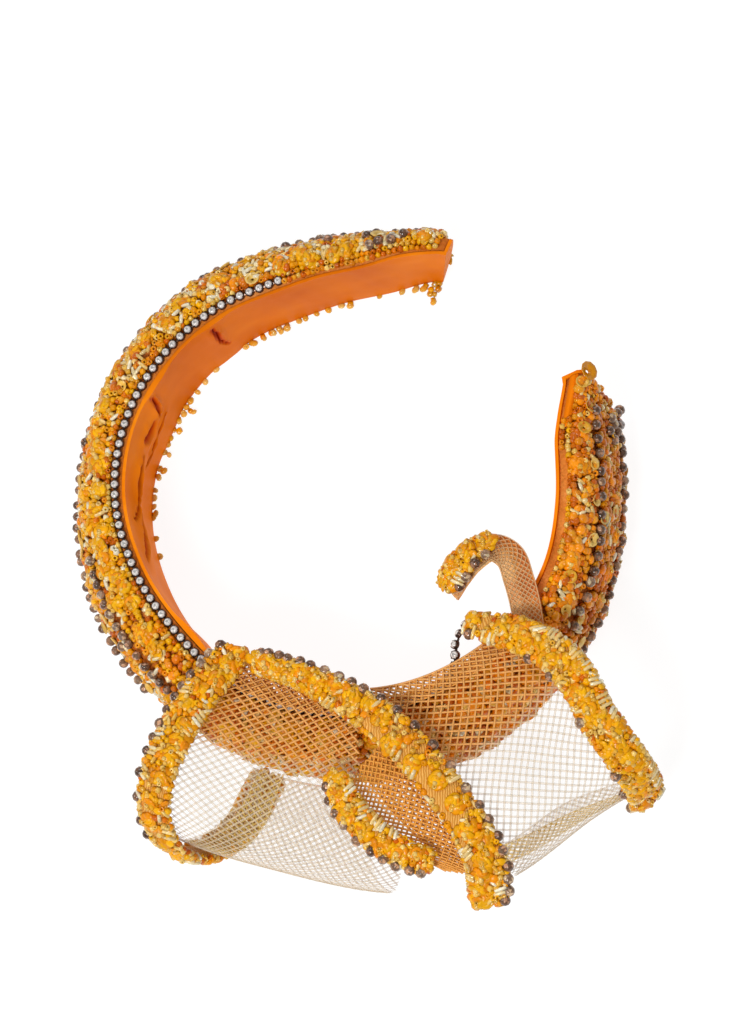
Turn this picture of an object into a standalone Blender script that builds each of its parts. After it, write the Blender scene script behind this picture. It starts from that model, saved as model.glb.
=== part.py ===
"""Crystal headband: a padded band under bead embroidery, with a satin lining, a chain of
cup-set crystals and a beaded bow of stiff net. It lies on its side. Sizes are in millimetres
until mesh_object makes them metres. A place is an angle round the band in degrees, 0 at its
crown and 90 at one ear, with a radius and a height."""

from math import acos, atan2, cos, degrees, pi, radians, sin

import bmesh
import bpy
from mathutils import Quaternion, Vector

MM = 0.001

# Driving sizes of the band
HEAD_RADIUS = 68.0
HEAD_FLARE = 3.0
PAD_WIDTH = 33.0
PAD_HEIGHT = 14.2
DOME_FULLNESS = 0.75
BEAD_LAYER = 2.4
THIN_BEADS = 0.9
LINING_WALL = 1.0
LINING_INSET = 1.6
CLEARANCE = 0.3

# Cup chain of cut stones
CHAIN_PITCH = 3.2
CUP_WIDTH = 2.8
CUP_HEIGHT = 1.5
STONE_CROWN = 0.6
STONE_TABLE = 0.5
LINK_HEIGHT = 0.8

# Strings of round crystal beads
STRING_WIDTH = 3.4

# Net of the bow and the beaded rolls along its edges
NET_WALL = 1.0
NET_STRAND = 2.2
BOW_REACH = 38.0
BOW_RISE = 9.0
BOW_DROOP = 40.0
BACK_HEIGHT = 7.0
ROLL_WIDTH = 12.0
ROLL_HEIGHT = 4.6
ROLL_WAIST = 0.93
END_TAPER = 0.62
TAIL_WIDTH = 9.0

# Plan of the band: angle, radius inside the lining's near edge and dome height, as shares
PLAN = (
    # angle, radius, dome
    (-156.0, 1.065, 0.46),
    (-148.0, 0.991, 0.64),
    (-140.0, 0.953, 0.74),
    (-125.0, 0.963, 0.75),
    (-108.0, 0.995, 0.75),
    (-90.0, 1.004, 0.86),
    (-65.0, 1.015, 1.00),
    (-40.0, 1.003, 1.00),
    (-15.0, 0.975, 1.10),
    (5.0, 0.953, 1.24),
    (25.0, 0.975, 1.20),
    (45.0, 1.009, 1.06),
    (65.0, 1.016, 1.02),
    (85.0, 0.995, 1.06),
    (100.0, 0.968, 1.06),
    (115.0, 0.934, 0.96),
    (128.0, 0.938, 0.84),
    (140.0, 0.962, 0.70),
    (150.0, 1.030, 0.52),
    (160.0, 1.095, 0.34),
)

# Where the band ends on each side: angle at its far edge and at its near edge
END_ANGLES = ((-149.0, -155.3), (152.0, 159.6))

BAND_STATIONS = 36
DOME_SHARES = (0.14, 0.27, 0.40, 0.53, 0.66, 0.80, 0.90)
LINING_LEVELS = (0.0, 0.18, 0.36, 0.54, 0.70, 0.85, 1.0)

# Pleats across the lining: angle, lean in degrees over its width, half width in degrees, depth
PLEATS = (
    (94.5, 3.0, 4.0, 1.2),
    (71.0, 8.0, 5.0, 1.6),
    (4.0, -4.0, 5.0, 1.4),
)
# The long fold along the lining: first and last angle, share of the width, half width, depth
LONG_FOLD = (28.0, 62.0, 0.62, 0.14, 1.5)

# Route of the cup chain: angle, radius as a share of its seat's, rise and outward lean
CHAIN_ROUTE = (
    # angle, share, rise, lean
    (117.5, 1.000, 0.0, 0.0),
    (0.0, 1.000, 0.0, 0.0),
    (-64.0, 1.000, 0.0, 0.0),
    (-70.0, 0.992, 0.2, 0.0),
    (-75.0, 0.945, 0.2, 0.0),
    (-78.2, 0.884, 0.3, -50.0),
    (-81.8, 0.856, 0.6, -80.0),
    (-86.1, 0.845, 0.8, -80.0),
)

# Strings of crystal beads on the dome: name, two angles and the share of the dome at each
BEAD_STRINGS = (
    ("ridge_string_left", 2.0, 156.0, 0.53, 0.53),
    ("flank_string_left", -10.0, 32.0, 0.76, 0.80),
    ("flank_string_right", -98.0, -146.0, 0.68, 0.80),
    ("ridge_string_right", -98.0, -150.0, 0.40, 0.40),
)

# Sections of each wing of the bow, one row from its mouth to the middle of the bow. Angles are
# of its inner edge and its fold, skew turns its back from its front, and sweep is how far round
# the fold goes. Inner is a share of the lining's radius. Reach and back are how far its fold and
# its back edge stand beyond the band, and bulge how far its front swells along the wing, all as
# shares of BOW_REACH.
LEFT_WING = (
    # along, inner angle, fold angle, skew, inner, reach, sweep, back, bulge
    (0.00, -9.6, -12.3, -8.5, 0.930, 0.80, 180.0, 0.04, 0.05),
    (0.50, -29.0, -32.0, -3.5, 0.920, 0.79, 180.0, 0.03, 0.02),
    (1.00, -50.0, -50.3, 0.0, 0.955, 0.93, 180.0, 0.03, 0.00),
)
RIGHT_WING = (
    # along, inner angle, fold angle, skew, inner, reach, sweep, back, bulge
    (0.00, -92.5, -92.0, 4.5, 1.030, 1.14, 150.0, 0.0, 0.16),
    (0.50, -72.0, -80.0, 2.0, 0.985, 1.02, 168.0, 0.0, 0.08),
    (1.00, -53.0, -67.0, 0.0, 0.955, 1.06, 172.0, 0.0, 0.00),
)
# How far in the net reaches over the band, as a share of the lining's radius
BOW_INNER = 0.93
# Cells of a wing along it, and round its flat front, its fold and its back
LEFT_CELLS = (4, 4, 4, 3)
RIGHT_CELLS = (5, 4, 5, 0)

# The loose end of the ribbon over the middle: its two long edges as angle and reach
RIBBON_END = (
    # along, left angle, left reach, right angle, right reach
    (0.0, -47.7, 0.15, -55.8, -0.18),
    (0.5, -53.6, 0.57, -62.3, 0.50),
    (1.0, -60.5, 0.95, -65.8, 1.11),
)
RIBBON_CELLS = (4, 1)

# Route of the roll that crosses the bow: angle, share of the lining's radius and share of width
CROSSING_ROUTE = (
    (-21.5, 0.915, 0.66),
    (-28.0, 0.905, 0.66),
    (-35.0, 0.912, 0.72),
    (-43.7, 0.965, 0.84),
    (-52.0, 1.056, 0.94),
    (-58.5, 1.204, 1.00),
    (-63.2, 1.415, 1.00),
    (-65.7, 1.653, 1.00),
    (-66.2, 1.797, 1.06),
    (-65.4, 1.907, 1.10),
    (-64.0, 1.986, 1.00),
)
# Route of the shorter roll along the ribbon end's other edge
FLAP_ROUTE = (
    (-46.4, 1.358, 0.74),
    (-48.6, 1.483, 0.80),
    (-52.3, 1.617, 0.80),
    (-56.2, 1.716, 0.74),
    (-59.7, 1.773, 0.66),
)

# Middle line of the small curled tail: angle, share of the lining's radius, rise over the front
# net and turn of the strip about its line in degrees
TAIL_ROUTE = (
    (-97.0, 1.045, 0.0, 0.0),
    (-101.9, 0.955, 2.0, 8.0),
    (-106.0, 0.880, 4.0, 15.0),
    (-105.7, 0.795, 5.0, 20.0),
    (-99.3, 0.740, 4.0, 15.0),
    (-92.5, 0.722, 2.0, 10.0),
    (-86.5, 0.722, 0.0, 5.0),
)

# Heights that follow from the sizes above
PAD_LOW = BEAD_LAYER + CLEARANCE
PAD_HIGH = PAD_LOW + PAD_WIDTH
PAD_INNER = LINING_WALL + CLEARANCE
CHAIN_OUT = PAD_INNER + CUP_WIDTH / 2 + CLEARANCE
PAD_SHOULDER = CHAIN_OUT + CUP_WIDTH / 2 + 2 * CLEARANCE - PAD_INNER
CHAIN_HIGH = PAD_HIGH + CLEARANCE + CUP_HEIGHT + STONE_CROWN
BAND_HIGH = max(PAD_HIGH + CLEARANCE + BEAD_LAYER, CHAIN_HIGH)
BAND_OUT = PAD_INNER + PAD_HEIGHT + CLEARANCE + BEAD_LAYER
FRONT_HEIGHT = BAND_HIGH + CLEARANCE + NET_WALL / 2
RIBBON_HEIGHT = FRONT_HEIGHT + NET_WALL + CLEARANCE
FOLD_REACH = (FRONT_HEIGHT - BACK_HEIGHT) / 2
NET_TO_ROLL = NET_WALL / 2 + CLEARANCE + ROLL_HEIGHT / 2


def at(angle, radius, height):
    """The point at an angle from the crown, a radius from the band's axis and a height."""
    turn = radians(angle)
    return Vector((radius * sin(turn), radius * cos(turn), height))


def read(rows, place):
    """All columns but the first at a place in the first, on a smooth curve through the rows."""
    keys = [row[0] for row in rows]
    step = 1 if keys[-1] > keys[0] else -1
    spot = sorted((keys[0] * step, place * step, keys[-1] * step))[1]
    last = len(rows) - 2
    low = min(sum(1 for key in keys[1:-1] if key * step <= spot), last)

    def slope(index, column):
        before = rows[max(index - 1, 0)]
        after = rows[min(index + 1, len(rows) - 1)]
        return (after[column] - before[column]) / ((after[0] - before[0]) * step)

    span = (keys[low + 1] - keys[low]) * step
    part = (spot - keys[low] * step) / span
    values = []
    for column in range(1, len(rows[0])):
        start, end = rows[low][column], rows[low + 1][column]
        out, into = slope(low, column) * span, slope(low + 1, column) * span
        values.append(
            start * (2 * part**3 - 3 * part**2 + 1)
            + out * (part**3 - 2 * part**2 + part)
            + end * (3 * part**2 - 2 * part**3)
            + into * (part**3 - part**2)
        )
    return values


def lining_radius(angle, up=1.0):
    """The radius of the lining's inner face, which flares from its near edge to its far one."""
    return HEAD_RADIUS * read(PLAN, angle)[0] + HEAD_FLARE * (1.0 - up)


def dome_height(angle):
    """The pad's height, which falls towards the band's ends."""
    return PAD_HEIGHT * read(PLAN, angle)[1]


def band_angle(along, up):
    """The angle at a share of the way along the band, whose ends are cut at a slant."""
    (first_far, first_near), (last_far, last_near) = END_ANGLES
    first = first_far + (first_near - first_far) * up
    last = last_far + (last_near - last_far) * up
    return first + (last - first) * along


def band_shares():
    """The shares of the band's length that its sections stand at."""
    return [index / (BAND_STATIONS - 1) for index in range(BAND_STATIONS)]


def dome_point(share, height):
    """Outward and upward place on the dome, from its far shoulder at 0 to its near one at 1."""
    turn = pi * share
    out = PAD_SHOULDER + (height - PAD_SHOULDER) * max(sin(turn), 0.0) ** DOME_FULLNESS
    return out, PAD_WIDTH * (0.5 - 0.5 * cos(turn))


def dome_normal(share, height):
    """The direction that faces off the dome at a share of it, in the plane of its section."""
    nudge = 0.02
    low = dome_point(max(share - nudge, 0.0), height)
    high = dome_point(min(share + nudge, 1.0), height)
    if share in (0.0, 1.0):
        return 0.0, (-1.0 if share == 0.0 else 1.0)
    run, rise = high[0] - low[0], high[1] - low[1]
    length = (run * run + rise * rise) ** 0.5
    return rise / length, -run / length


def on_dome(along, share, off):
    """The point at a distance off the dome."""
    up = dome_point(share, PAD_HEIGHT)[1] / PAD_WIDTH
    angle = band_angle(along, up)
    height = dome_height(angle)
    out, rise = dome_point(share, height)
    normal = dome_normal(share, height)
    radius = lining_radius(angle, up) + PAD_INNER + out + normal[0] * off
    return at(angle, radius, PAD_LOW + rise + normal[1] * off)


def material(name, colour, roughness, metallic=0.0, transmission=0.0):
    """A plain Principled material."""
    made = bpy.data.materials.new(name)
    made.use_nodes = True
    shader = made.node_tree.nodes["Principled BSDF"]
    shader.inputs["Base Color"].default_value = (*colour, 1.0)
    shader.inputs["Roughness"].default_value = roughness
    shader.inputs["Metallic"].default_value = metallic
    shader.inputs["Transmission Weight"].default_value = transmission
    made.diffuse_color = (*colour, 1.0)
    return made


def mesh_object(name, points, faces, finish, smooth=True):
    """A mesh object in metres, facing outwards."""
    mesh = bpy.data.meshes.new(name)
    mesh.from_pydata([point * MM for point in points], [], faces)
    form = bmesh.new()
    form.from_mesh(mesh)
    bmesh.ops.recalc_face_normals(form, faces=form.faces)
    form.to_mesh(mesh)
    form.free()
    mesh.materials.append(finish)
    if smooth:
        mesh.shade_smooth()
        mesh.set_sharp_from_angle(angle=radians(45.0))
    thing = bpy.data.objects.new(name, mesh)
    bpy.context.collection.objects.link(thing)
    return thing


def closed_sweep(rings):
    """Points and faces of a solid swept through rings of equal count, capped at both ends."""
    count = len(rings[0])
    points = [point for ring in rings for point in ring]
    faces = []
    for ring in range(len(rings) - 1):
        for spot in range(count):
            after = (spot + 1) % count
            start, end = ring * count, (ring + 1) * count
            faces.append((start + spot, start + after, end + after, end + spot))
    faces.append(tuple(range(count - 1, -1, -1)))
    faces.append(tuple(len(points) - count + spot for spot in range(count)))
    return points, faces


def sheet_solid(front, back):
    """A closed wall between two grids of points, which share their rows and columns."""
    rings = []
    for front_row, back_row in zip(front, back):
        rings.append(list(front_row) + list(reversed(back_row)))
    count, across = len(rings[0]), len(front[0])
    points = [point for ring in rings for point in ring]
    faces = []
    for ring in range(len(rings) - 1):
        for spot in range(count):
            after = (spot + 1) % count
            start, end = ring * count, (ring + 1) * count
            faces.append((start + spot, start + after, end + after, end + spot))
    for start in (0, len(points) - count):
        for spot in range(across - 1):
            low, high = count - 1 - spot, count - 2 - spot
            faces.append((start + spot, start + spot + 1, start + high, start + low))
    return points, faces


def build_pad(finish):
    """The padded core: a flat inner face, a shoulder along each edge and a dome between."""
    rings = []
    for along in band_shares():
        ring = []
        for up in (1.0, 0.5, 0.0):
            angle = band_angle(along, up)
            radius = lining_radius(angle, up) + PAD_INNER
            ring.append(at(angle, radius, PAD_LOW + PAD_WIDTH * up))
        for share in (0.0, *DOME_SHARES, 1.0):
            ring.append(on_dome(along, share, 0.0))
        rings.append(ring)
    points, faces = closed_sweep(rings)
    return mesh_object("pad", points, faces, finish)


def under_string(share, angle):
    """Whether a string of beads lies within a row of a place on the dome."""
    for _, first, last, first_share, last_share in BEAD_STRINGS:
        part = (angle - first) / (last - first)
        line = first_share + (last_share - first_share) * part
        if -0.15 < part < 1.15 and abs(share - line) < 0.1:
            return True
    return False


def bead_swell(row, column, share, angle):
    """How thick the bead layer is: full at its edges, thin under a string, lumpy elsewhere."""
    if share in (0.0, 1.0):
        return BEAD_LAYER
    if under_string(share, angle):
        return THIN_BEADS
    lump = sin(row * 2.3 + column * 1.7) * sin(column * 2.9 - row * 1.1)
    return BEAD_LAYER * (0.88 + 0.12 * lump)


def build_bead_layer(finish):
    """The layer of bead embroidery over the dome, with a flat foot that the band rests on."""
    inner, outer = [], []
    for column, along in enumerate(band_shares()):
        foot = band_angle(along, 0.0)
        edge = lining_radius(foot, 0.0) + PAD_INNER
        low_row = [at(foot, edge, PAD_LOW - CLEARANCE)]
        high_row = [at(foot, edge, PAD_LOW - CLEARANCE - BEAD_LAYER)]
        for row, share in enumerate((0.0, *DOME_SHARES, 1.0)):
            swell = bead_swell(row, column, share, band_angle(along, 0.5))
            low_row.append(on_dome(along, share, CLEARANCE))
            high_row.append(on_dome(along, share, CLEARANCE + swell))
        inner.append(low_row)
        outer.append(high_row)
    points, faces = sheet_solid(inner, outer)
    return mesh_object("bead_layer", points, faces, finish)


def fold_depth(angle, up):
    """How far the lining stands in from its smooth face, from its pleats and its long fold."""
    depth = 0.0
    for middle, lean, half, tall in PLEATS:
        offset = (angle - middle - lean * (up - 0.5)) / half
        depth += LINING_WALL * tall / (1.0 + offset**4)
    first, last, level, half, tall = LONG_FOLD
    middle, reach = (first + last) / 2, (last - first) / 2
    across = (up - level) / half
    depth += LINING_WALL * tall / (1.0 + across**4) / (1.0 + ((angle - middle) / reach) ** 6)
    return depth


def build_lining(finish):
    """The satin lining: a thin pleated wall inside the pad, folded over both of its ends."""
    low, high = PAD_LOW - LINING_INSET, PAD_HIGH + LINING_WALL * 0.4
    face, back = [], []
    columns = [0.0, *band_shares(), 1.0]
    for index, along in enumerate(columns):
        over_end = index in (0, len(columns) - 1)
        face_row, back_row = [], []
        for up in LINING_LEVELS:
            angle = band_angle(along, up)
            radius = lining_radius(angle, up)
            height = low + (high - low) * up
            behind = angle + end_turn(along, radius, CLEARANCE)
            ahead = angle + end_turn(along, radius, CLEARANCE + LINING_WALL)
            if over_end:
                spread = PAD_INNER + dome_point(share_at(up), dome_height(angle))[0]
                face_row.append(at(ahead, radius + spread, height))
                back_row.append(at(behind, radius + spread, height))
            else:
                face_row.append(at(ahead, radius - fold_depth(angle, up), height))
                back_row.append(at(behind, radius + LINING_WALL, height))
        face.append(face_row)
        back.append(back_row)
    points, faces = sheet_solid(face, back)
    return mesh_object("lining", points, faces, finish)


def share_at(up):
    """The share of the dome that stands at a share of the pad's width."""
    return acos(1.0 - 2.0 * up) / pi


def end_turn(along, radius, distance):
    """The turn in degrees that takes a point past the band's nearer end by a distance."""
    if along not in (0.0, 1.0):
        return 0.0
    return (1 if along else -1) * distance / radius / radians(1.0)


def chain_frames():
    """Centre, forward, side and up directions of each cup, one pitch apart along the route."""
    samples = []
    steps = 1200
    first, last = CHAIN_ROUTE[0][0], CHAIN_ROUTE[-1][0]
    for step in range(steps + 1):
        angle = first + (last - first) * step / steps
        share, rise, lean = read(CHAIN_ROUTE, angle)
        radius = (lining_radius(angle) + CHAIN_OUT) * share
        height = PAD_HIGH + CLEARANCE + CUP_HEIGHT * rise
        outward = at(angle, 1.0, 0.0)
        up = Vector((0.0, 0.0, 1.0)) * cos(radians(lean)) + outward * sin(radians(lean))
        samples.append((at(angle, radius, height), up))
    frames, travelled = [], 0.0
    for index in range(1, steps):
        step = samples[index][0] - samples[index - 1][0]
        travelled += step.length
        if travelled >= CHAIN_PITCH * len(frames):
            forward = (samples[index + 1][0] - samples[index - 1][0]).normalized()
            side = samples[index][1].cross(forward).normalized()
            frames.append((samples[index][0], forward, side, forward.cross(side)))
    return frames


def build_chain(finish):
    """Cups of eight sides joined by links, each with a stone of eight crown facets and a table."""
    reach = CUP_WIDTH / 2 / cos(pi / 8)
    turns = [pi / 8 + pi / 4 * corner for corner in range(8)]
    points, faces, starts = [], [], []
    for centre, forward, side, up in chain_frames():
        starts.append(len(points))
        for radius, height in ((reach, 0.0), (reach, CUP_HEIGHT)):
            for turn in turns:
                flat = forward * cos(turn) + side * sin(turn)
                points.append(centre + flat * radius + up * height)
        for turn in turns:
            flat = forward * cos(turn) + side * sin(turn)
            points.append(centre + flat * STONE_TABLE * reach + up * (CUP_HEIGHT + STONE_CROWN))
        for corner in (7, 0, 3, 4):
            points.append(points[starts[-1] + corner] + up * LINK_HEIGHT)
    for index, start in enumerate(starts):
        low = [start + corner for corner in range(8)]
        top = [start + 8 + corner for corner in range(8)]
        table = [start + 16 + corner for corner in range(8)]
        joint = {7: start + 24, 0: start + 25, 3: start + 26, 4: start + 27}
        faces.append(tuple(reversed(low)))
        faces.append(tuple(table))
        for corner in range(8):
            after = (corner + 1) % 8
            faces.append((top[corner], top[after], table[after], table[corner]))
            if (corner, after) in ((7, 0), (3, 4)):
                faces.append((joint[corner], joint[after], top[after], top[corner]))
                continue
            wall = [low[corner], low[after]]
            if after in joint:
                wall.append(joint[after])
            wall += [top[after], top[corner]]
            if corner in joint:
                wall.append(joint[corner])
            faces.append(tuple(wall))
        if index == 0:
            faces.append((low[3], low[4], joint[4], joint[3]))
        if index == len(starts) - 1:
            faces.append((low[7], low[0], joint[0], joint[7]))
            continue
        following = starts[index + 1]
        ahead = {3: following + 3, 4: following + 4}
        ahead_joint = {3: following + 26, 4: following + 27}
        faces.append((low[7], ahead[4], ahead[3], low[0]))
        faces.append((joint[7], joint[0], ahead_joint[3], ahead_joint[4]))
        faces.append((low[0], ahead[3], ahead_joint[3], joint[0]))
        faces.append((low[7], joint[7], ahead_joint[4], ahead[4]))
    return mesh_object("crystal_chain", points, faces, finish, smooth=False)


def tube_object(name, route, width, finish):
    """A round tube through a list of points, with filled ends."""
    curve = bpy.data.curves.new(name, "CURVE")
    curve.dimensions = "3D"
    curve.bevel_depth = width / 2 * MM
    curve.bevel_resolution = 2
    curve.use_fill_caps = True
    line = curve.splines.new("POLY")
    line.points.add(len(route) - 1)
    for spot, point in zip(line.points, route):
        spot.co = (*(point * MM), 1.0)
    curve.materials.append(finish)
    thing = bpy.data.objects.new(name, curve)
    bpy.context.collection.objects.link(thing)
    return thing


def build_bead_strings(finish):
    """The strings of round crystal beads, which lie where the bead layer is thin."""
    off = CLEARANCE + THIN_BEADS + CLEARANCE + STRING_WIDTH / 2
    for name, first, last, first_share, last_share in BEAD_STRINGS:
        route = []
        for along in band_shares():
            part = (band_angle(along, 0.5) - first) / (last - first)
            if 0.0 <= part <= 1.0:
                share = first_share + (last_share - first_share) * part
                route.append(on_dome(along, share, off))
        tube_object(name, route, STRING_WIDTH, finish)


def band_outer(angle):
    """The radius outside the bead layer at its widest."""
    return lining_radius(angle, 0.5) + BAND_OUT - PAD_HEIGHT + dome_height(angle)


def bow_rise(point):
    """How far the bow's front stands above the band at a place in its plan: it rises from its
    inner edge to the turn of its fold, and what lies on it droops past that."""
    angle = degrees(atan2(point.x, point.y))
    inner = lining_radius(angle) * BOW_INNER
    turn = band_outer(angle) + BOW_REACH - FOLD_REACH
    radius = (point.x**2 + point.y**2) ** 0.5
    share = min(max((radius - inner) / (turn - inner), 0.0), 1.0)
    return BOW_RISE * sin(pi / 2 * share) - max(radius - turn, 0.0) ** 2 / (2 * BOW_DROOP)


def wing_point(rows, cells, along, step):
    """The point on a wing at a share of its length and a cell count round its section."""
    inner_angle, fold_angle, skew, inner, reach, sweep, back, bulge = read(rows, along)
    flat_cells, fold_cells, back_cells = cells[1:]
    start = at(inner_angle, lining_radius(inner_angle) * inner, 0.0)
    fold = at(fold_angle, band_outer(fold_angle) + BOW_REACH * reach, 0.0)
    outward = (fold - start).normalized()
    turn_point = fold - outward * FOLD_REACH
    if step <= flat_cells:
        share = step / flat_cells
        aside = outward.cross(Vector((0.0, 0.0, 1.0)))
        spot = start.lerp(turn_point, share)
        spot += aside * BOW_REACH * bulge * (1 if rows is LEFT_WING else -1) * sin(pi * share)
        spot.z = FRONT_HEIGHT + bow_rise(spot)
        return spot
    half = (FRONT_HEIGHT + bow_rise(turn_point) - BACK_HEIGHT) / 2
    round_share = min((step - flat_cells) / fold_cells, 1.0)
    turn = radians(sweep) * round_share
    spot = turn_point + outward * FOLD_REACH * sin(turn)
    spot.rotate(Quaternion((0.0, 0.0, 1.0), -radians(skew) * round_share))
    spot.z = BACK_HEIGHT + half + half * cos(turn)
    if step <= flat_cells + fold_cells:
        return spot
    back_angle = fold_angle + skew
    back_edge = at(back_angle, band_outer(back_angle) + BOW_REACH * back, spot.z)
    return spot.lerp(back_edge, (step - flat_cells - fold_cells) / back_cells)


def wing_normal(rows, cells, along, step):
    """The direction off a wing's outer side."""
    nudge = 0.02
    last = sum(cells[1:])
    ahead = wing_point(rows, cells, along, min(step + nudge, last))
    behind = wing_point(rows, cells, along, max(step - nudge, 0))
    right = wing_point(rows, cells, min(along + nudge, 1.0), step)
    left = wing_point(rows, cells, max(along - nudge, 0.0), step)
    normal = (ahead - behind).cross(right - left).normalized()
    start = wing_point(rows, cells, along, 0)
    return normal if outward_side(normal, ahead, start) else -normal


def outward_side(normal, point, start):
    """Whether a direction points away from the middle of a wing's hollow."""
    middle = (FRONT_HEIGHT + BOW_RISE + BACK_HEIGHT) / 2
    away = Vector((0.0, 0.0, point.z - middle)) + (point - start).normalized() * 0.01
    return normal.dot(away) > 0


def pierced_net(name, grid, finish):
    """A wall of net over a grid of points, with one square gap cut through each cell."""
    form = bmesh.new()
    rows = [[form.verts.new(point * MM) for point in row] for row in grid]
    for low, high in zip(rows, rows[1:]):
        for spot in range(len(low) - 1):
            form.faces.new((low[spot], low[spot + 1], high[spot + 1], high[spot]))
    form.normal_update()
    bmesh.ops.inset_individual(
        form, faces=form.faces[:], thickness=NET_STRAND / 2 * MM, use_even_offset=True
    )
    cells = (len(grid) - 1) * (len(grid[0]) - 1)
    form.faces.ensure_lookup_table()
    gaps = [face for face in form.faces if all(len(v.link_edges) == 3 for v in face.verts)]
    bmesh.ops.delete(form, geom=gaps[:cells], context="FACES")
    mesh = bpy.data.meshes.new(name)
    form.to_mesh(mesh)
    form.free()
    mesh.materials.append(finish)
    net = bpy.data.objects.new(name, mesh)
    bpy.context.collection.objects.link(net)
    wall = net.modifiers.new("wall", "SOLIDIFY")
    wall.thickness = NET_WALL * MM
    wall.offset = 0.0
    wall.use_even_offset = True
    return net


def build_wing(name, rows, cells, finish):
    """One wing of the bow: a flat front, a round fold and a back, open at its mouth."""
    grid = []
    for step in range(sum(cells[1:]) + 1):
        row = [wing_point(rows, cells, part / cells[0], step) for part in range(cells[0] + 1)]
        grid.append(row)
    return pierced_net(name, grid, finish)


def ribbon_point(along, across):
    """The point on the loose ribbon end, from its left edge at 0 to its right one at 1."""
    left_angle, left_reach, right_angle, right_reach = read(RIBBON_END, along)
    left = at(left_angle, band_outer(left_angle) + BOW_REACH * left_reach, 0.0)
    right = at(right_angle, band_outer(right_angle) + BOW_REACH * right_reach, 0.0)
    spot = left.lerp(right, across)
    spot.z = RIBBON_HEIGHT + bow_rise(spot)
    return spot


def build_ribbon_end(finish):
    """The loose end of the ribbon, over the middle of the bow."""
    long_cells, cross_cells = RIBBON_CELLS
    grid = []
    for step in range(long_cells + 1):
        grid.append([ribbon_point(step / long_cells, part / cross_cells)
                     for part in range(cross_cells + 1)])
    return pierced_net("ribbon_end", grid, finish)


def roll_object(name, spine, finish, width=ROLL_WIDTH, height=ROLL_HEIGHT):
    """A beaded roll: an oval section along a spine of centres, sides, ups and width shares."""
    rings = []
    last = len(spine) - 1
    for index, (centre, side, up, share) in enumerate(spine):
        taper = END_TAPER if index in (0, last) else 1.0
        lump = 1.0 if index % 2 else ROLL_WAIST
        ring = []
        for corner in range(8):
            turn = pi / 4 * corner + pi / 8
            wide = side * (width / 2 * share * taper * lump * cos(turn) / cos(pi / 8))
            tall = up * (height / 2 * taper * sin(turn) / cos(pi / 8))
            ring.append(centre + wide + tall)
        rings.append(ring)
    points, faces = closed_sweep(rings)
    return mesh_object(name, points, faces, finish)


def front_spine(route, height):
    """Spine of a roll that lies on the bow's front, through angles and shares of the radius."""
    keyed = [(index, *row) for index, row in enumerate(route)]
    steps = 2 * (len(route) - 1)
    centres, widths = [], []
    for step in range(steps + 1):
        angle, share, width = read(keyed, step / 2)
        centre = at(angle, lining_radius(angle) * share, height)
        centre.z += bow_rise(centre)
        centres.append(centre)
        widths.append(width)
    spine = []
    for step, centre in enumerate(centres):
        forward = (centres[min(step + 1, steps)] - centres[max(step - 1, 0)]).normalized()
        side = Vector((0.0, 0.0, 1.0)).cross(forward).normalized()
        spine.append((centre, side, forward.cross(side), widths[step]))
    return spine


def mouth_spine(rows, cells, first, last, lead):
    """Spine of the roll round a wing's mouth, on its outer side, between two cell counts."""
    spine = []
    near, nudge = 0.0, 0.05
    steps = 2 * (last - first)
    for index in range(steps + 1):
        step = first + (last - first) * index / steps
        edge = wing_point(rows, cells, near, step)
        side = (wing_point(rows, cells, near + nudge, step) - edge).normalized()
        normal = wing_normal(rows, cells, near, step)
        centre = edge + side * ROLL_WIDTH * 0.4 + normal * NET_TO_ROLL
        spine.append((centre, side, normal, 1.0))
    if lead:
        centre, side, normal, _ = spine[0]
        back = (centre - spine[1][0]).normalized()
        spine.insert(0, (centre + back * lead, side, normal, 1.0))
    return spine


def build_rolls(finish):
    """The beaded rolls along the net's edges."""
    crossing = RIBBON_HEIGHT + NET_TO_ROLL + 2 * CLEARANCE
    roll_object("crossing_roll", front_spine(CROSSING_ROUTE, crossing), finish)
    roll_object("flap_roll", front_spine(FLAP_ROUTE, crossing), finish)
    left = mouth_spine(LEFT_WING, LEFT_CELLS, 0, sum(LEFT_CELLS[1:]), 0.0)
    roll_object("left_mouth_roll", left, finish)
    right_last = RIGHT_CELLS[1] + RIGHT_CELLS[2] - 1
    right = mouth_spine(RIGHT_WING, RIGHT_CELLS, 0, right_last, ROLL_WIDTH * 0.7)
    roll_object("right_mouth_roll", right, finish)


def tail_frames(steps):
    """Centres, side and up directions along the small curled tail."""
    keyed = [(index, *row) for index, row in enumerate(TAIL_ROUTE)]
    centres, turns = [], []
    for step in range(steps + 1):
        angle, share, rise, turn = read(keyed, (len(TAIL_ROUTE) - 1) * step / steps)
        centres.append(at(angle, lining_radius(angle) * share, FRONT_HEIGHT + rise))
        turns.append(turn)
    frames = []
    for step, centre in enumerate(centres):
        ahead = centres[min(step + 1, steps)]
        behind = centres[max(step - 1, 0)]
        forward = (ahead - behind).normalized()
        level = Vector((0.0, 0.0, 1.0)).cross(forward).normalized()
        lean = radians(turns[step])
        side = (level * cos(lean) + Vector((0.0, 0.0, 1.0)) * sin(lean)).normalized()
        frames.append((centre, side, forward.cross(side).normalized()))
    return frames


def build_tail(net_finish, roll_finish):
    """The small curled tail of net, and the beads over its free end."""
    steps = 6
    frames = tail_frames(steps)
    grid = []
    for centre, side, _ in frames:
        grid.append([centre - side * TAIL_WIDTH / 2, centre + side * TAIL_WIDTH / 2])
    pierced_net("tail", grid, net_finish)
    spine = []
    for centre, side, up in frames[3:]:
        toward = up if up.z > 0 else -up
        spine.append((centre + toward * NET_TO_ROLL, side, toward, 1.0))
    roll_object("tail_roll", spine, roll_finish, width=TAIL_WIDTH)


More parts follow.
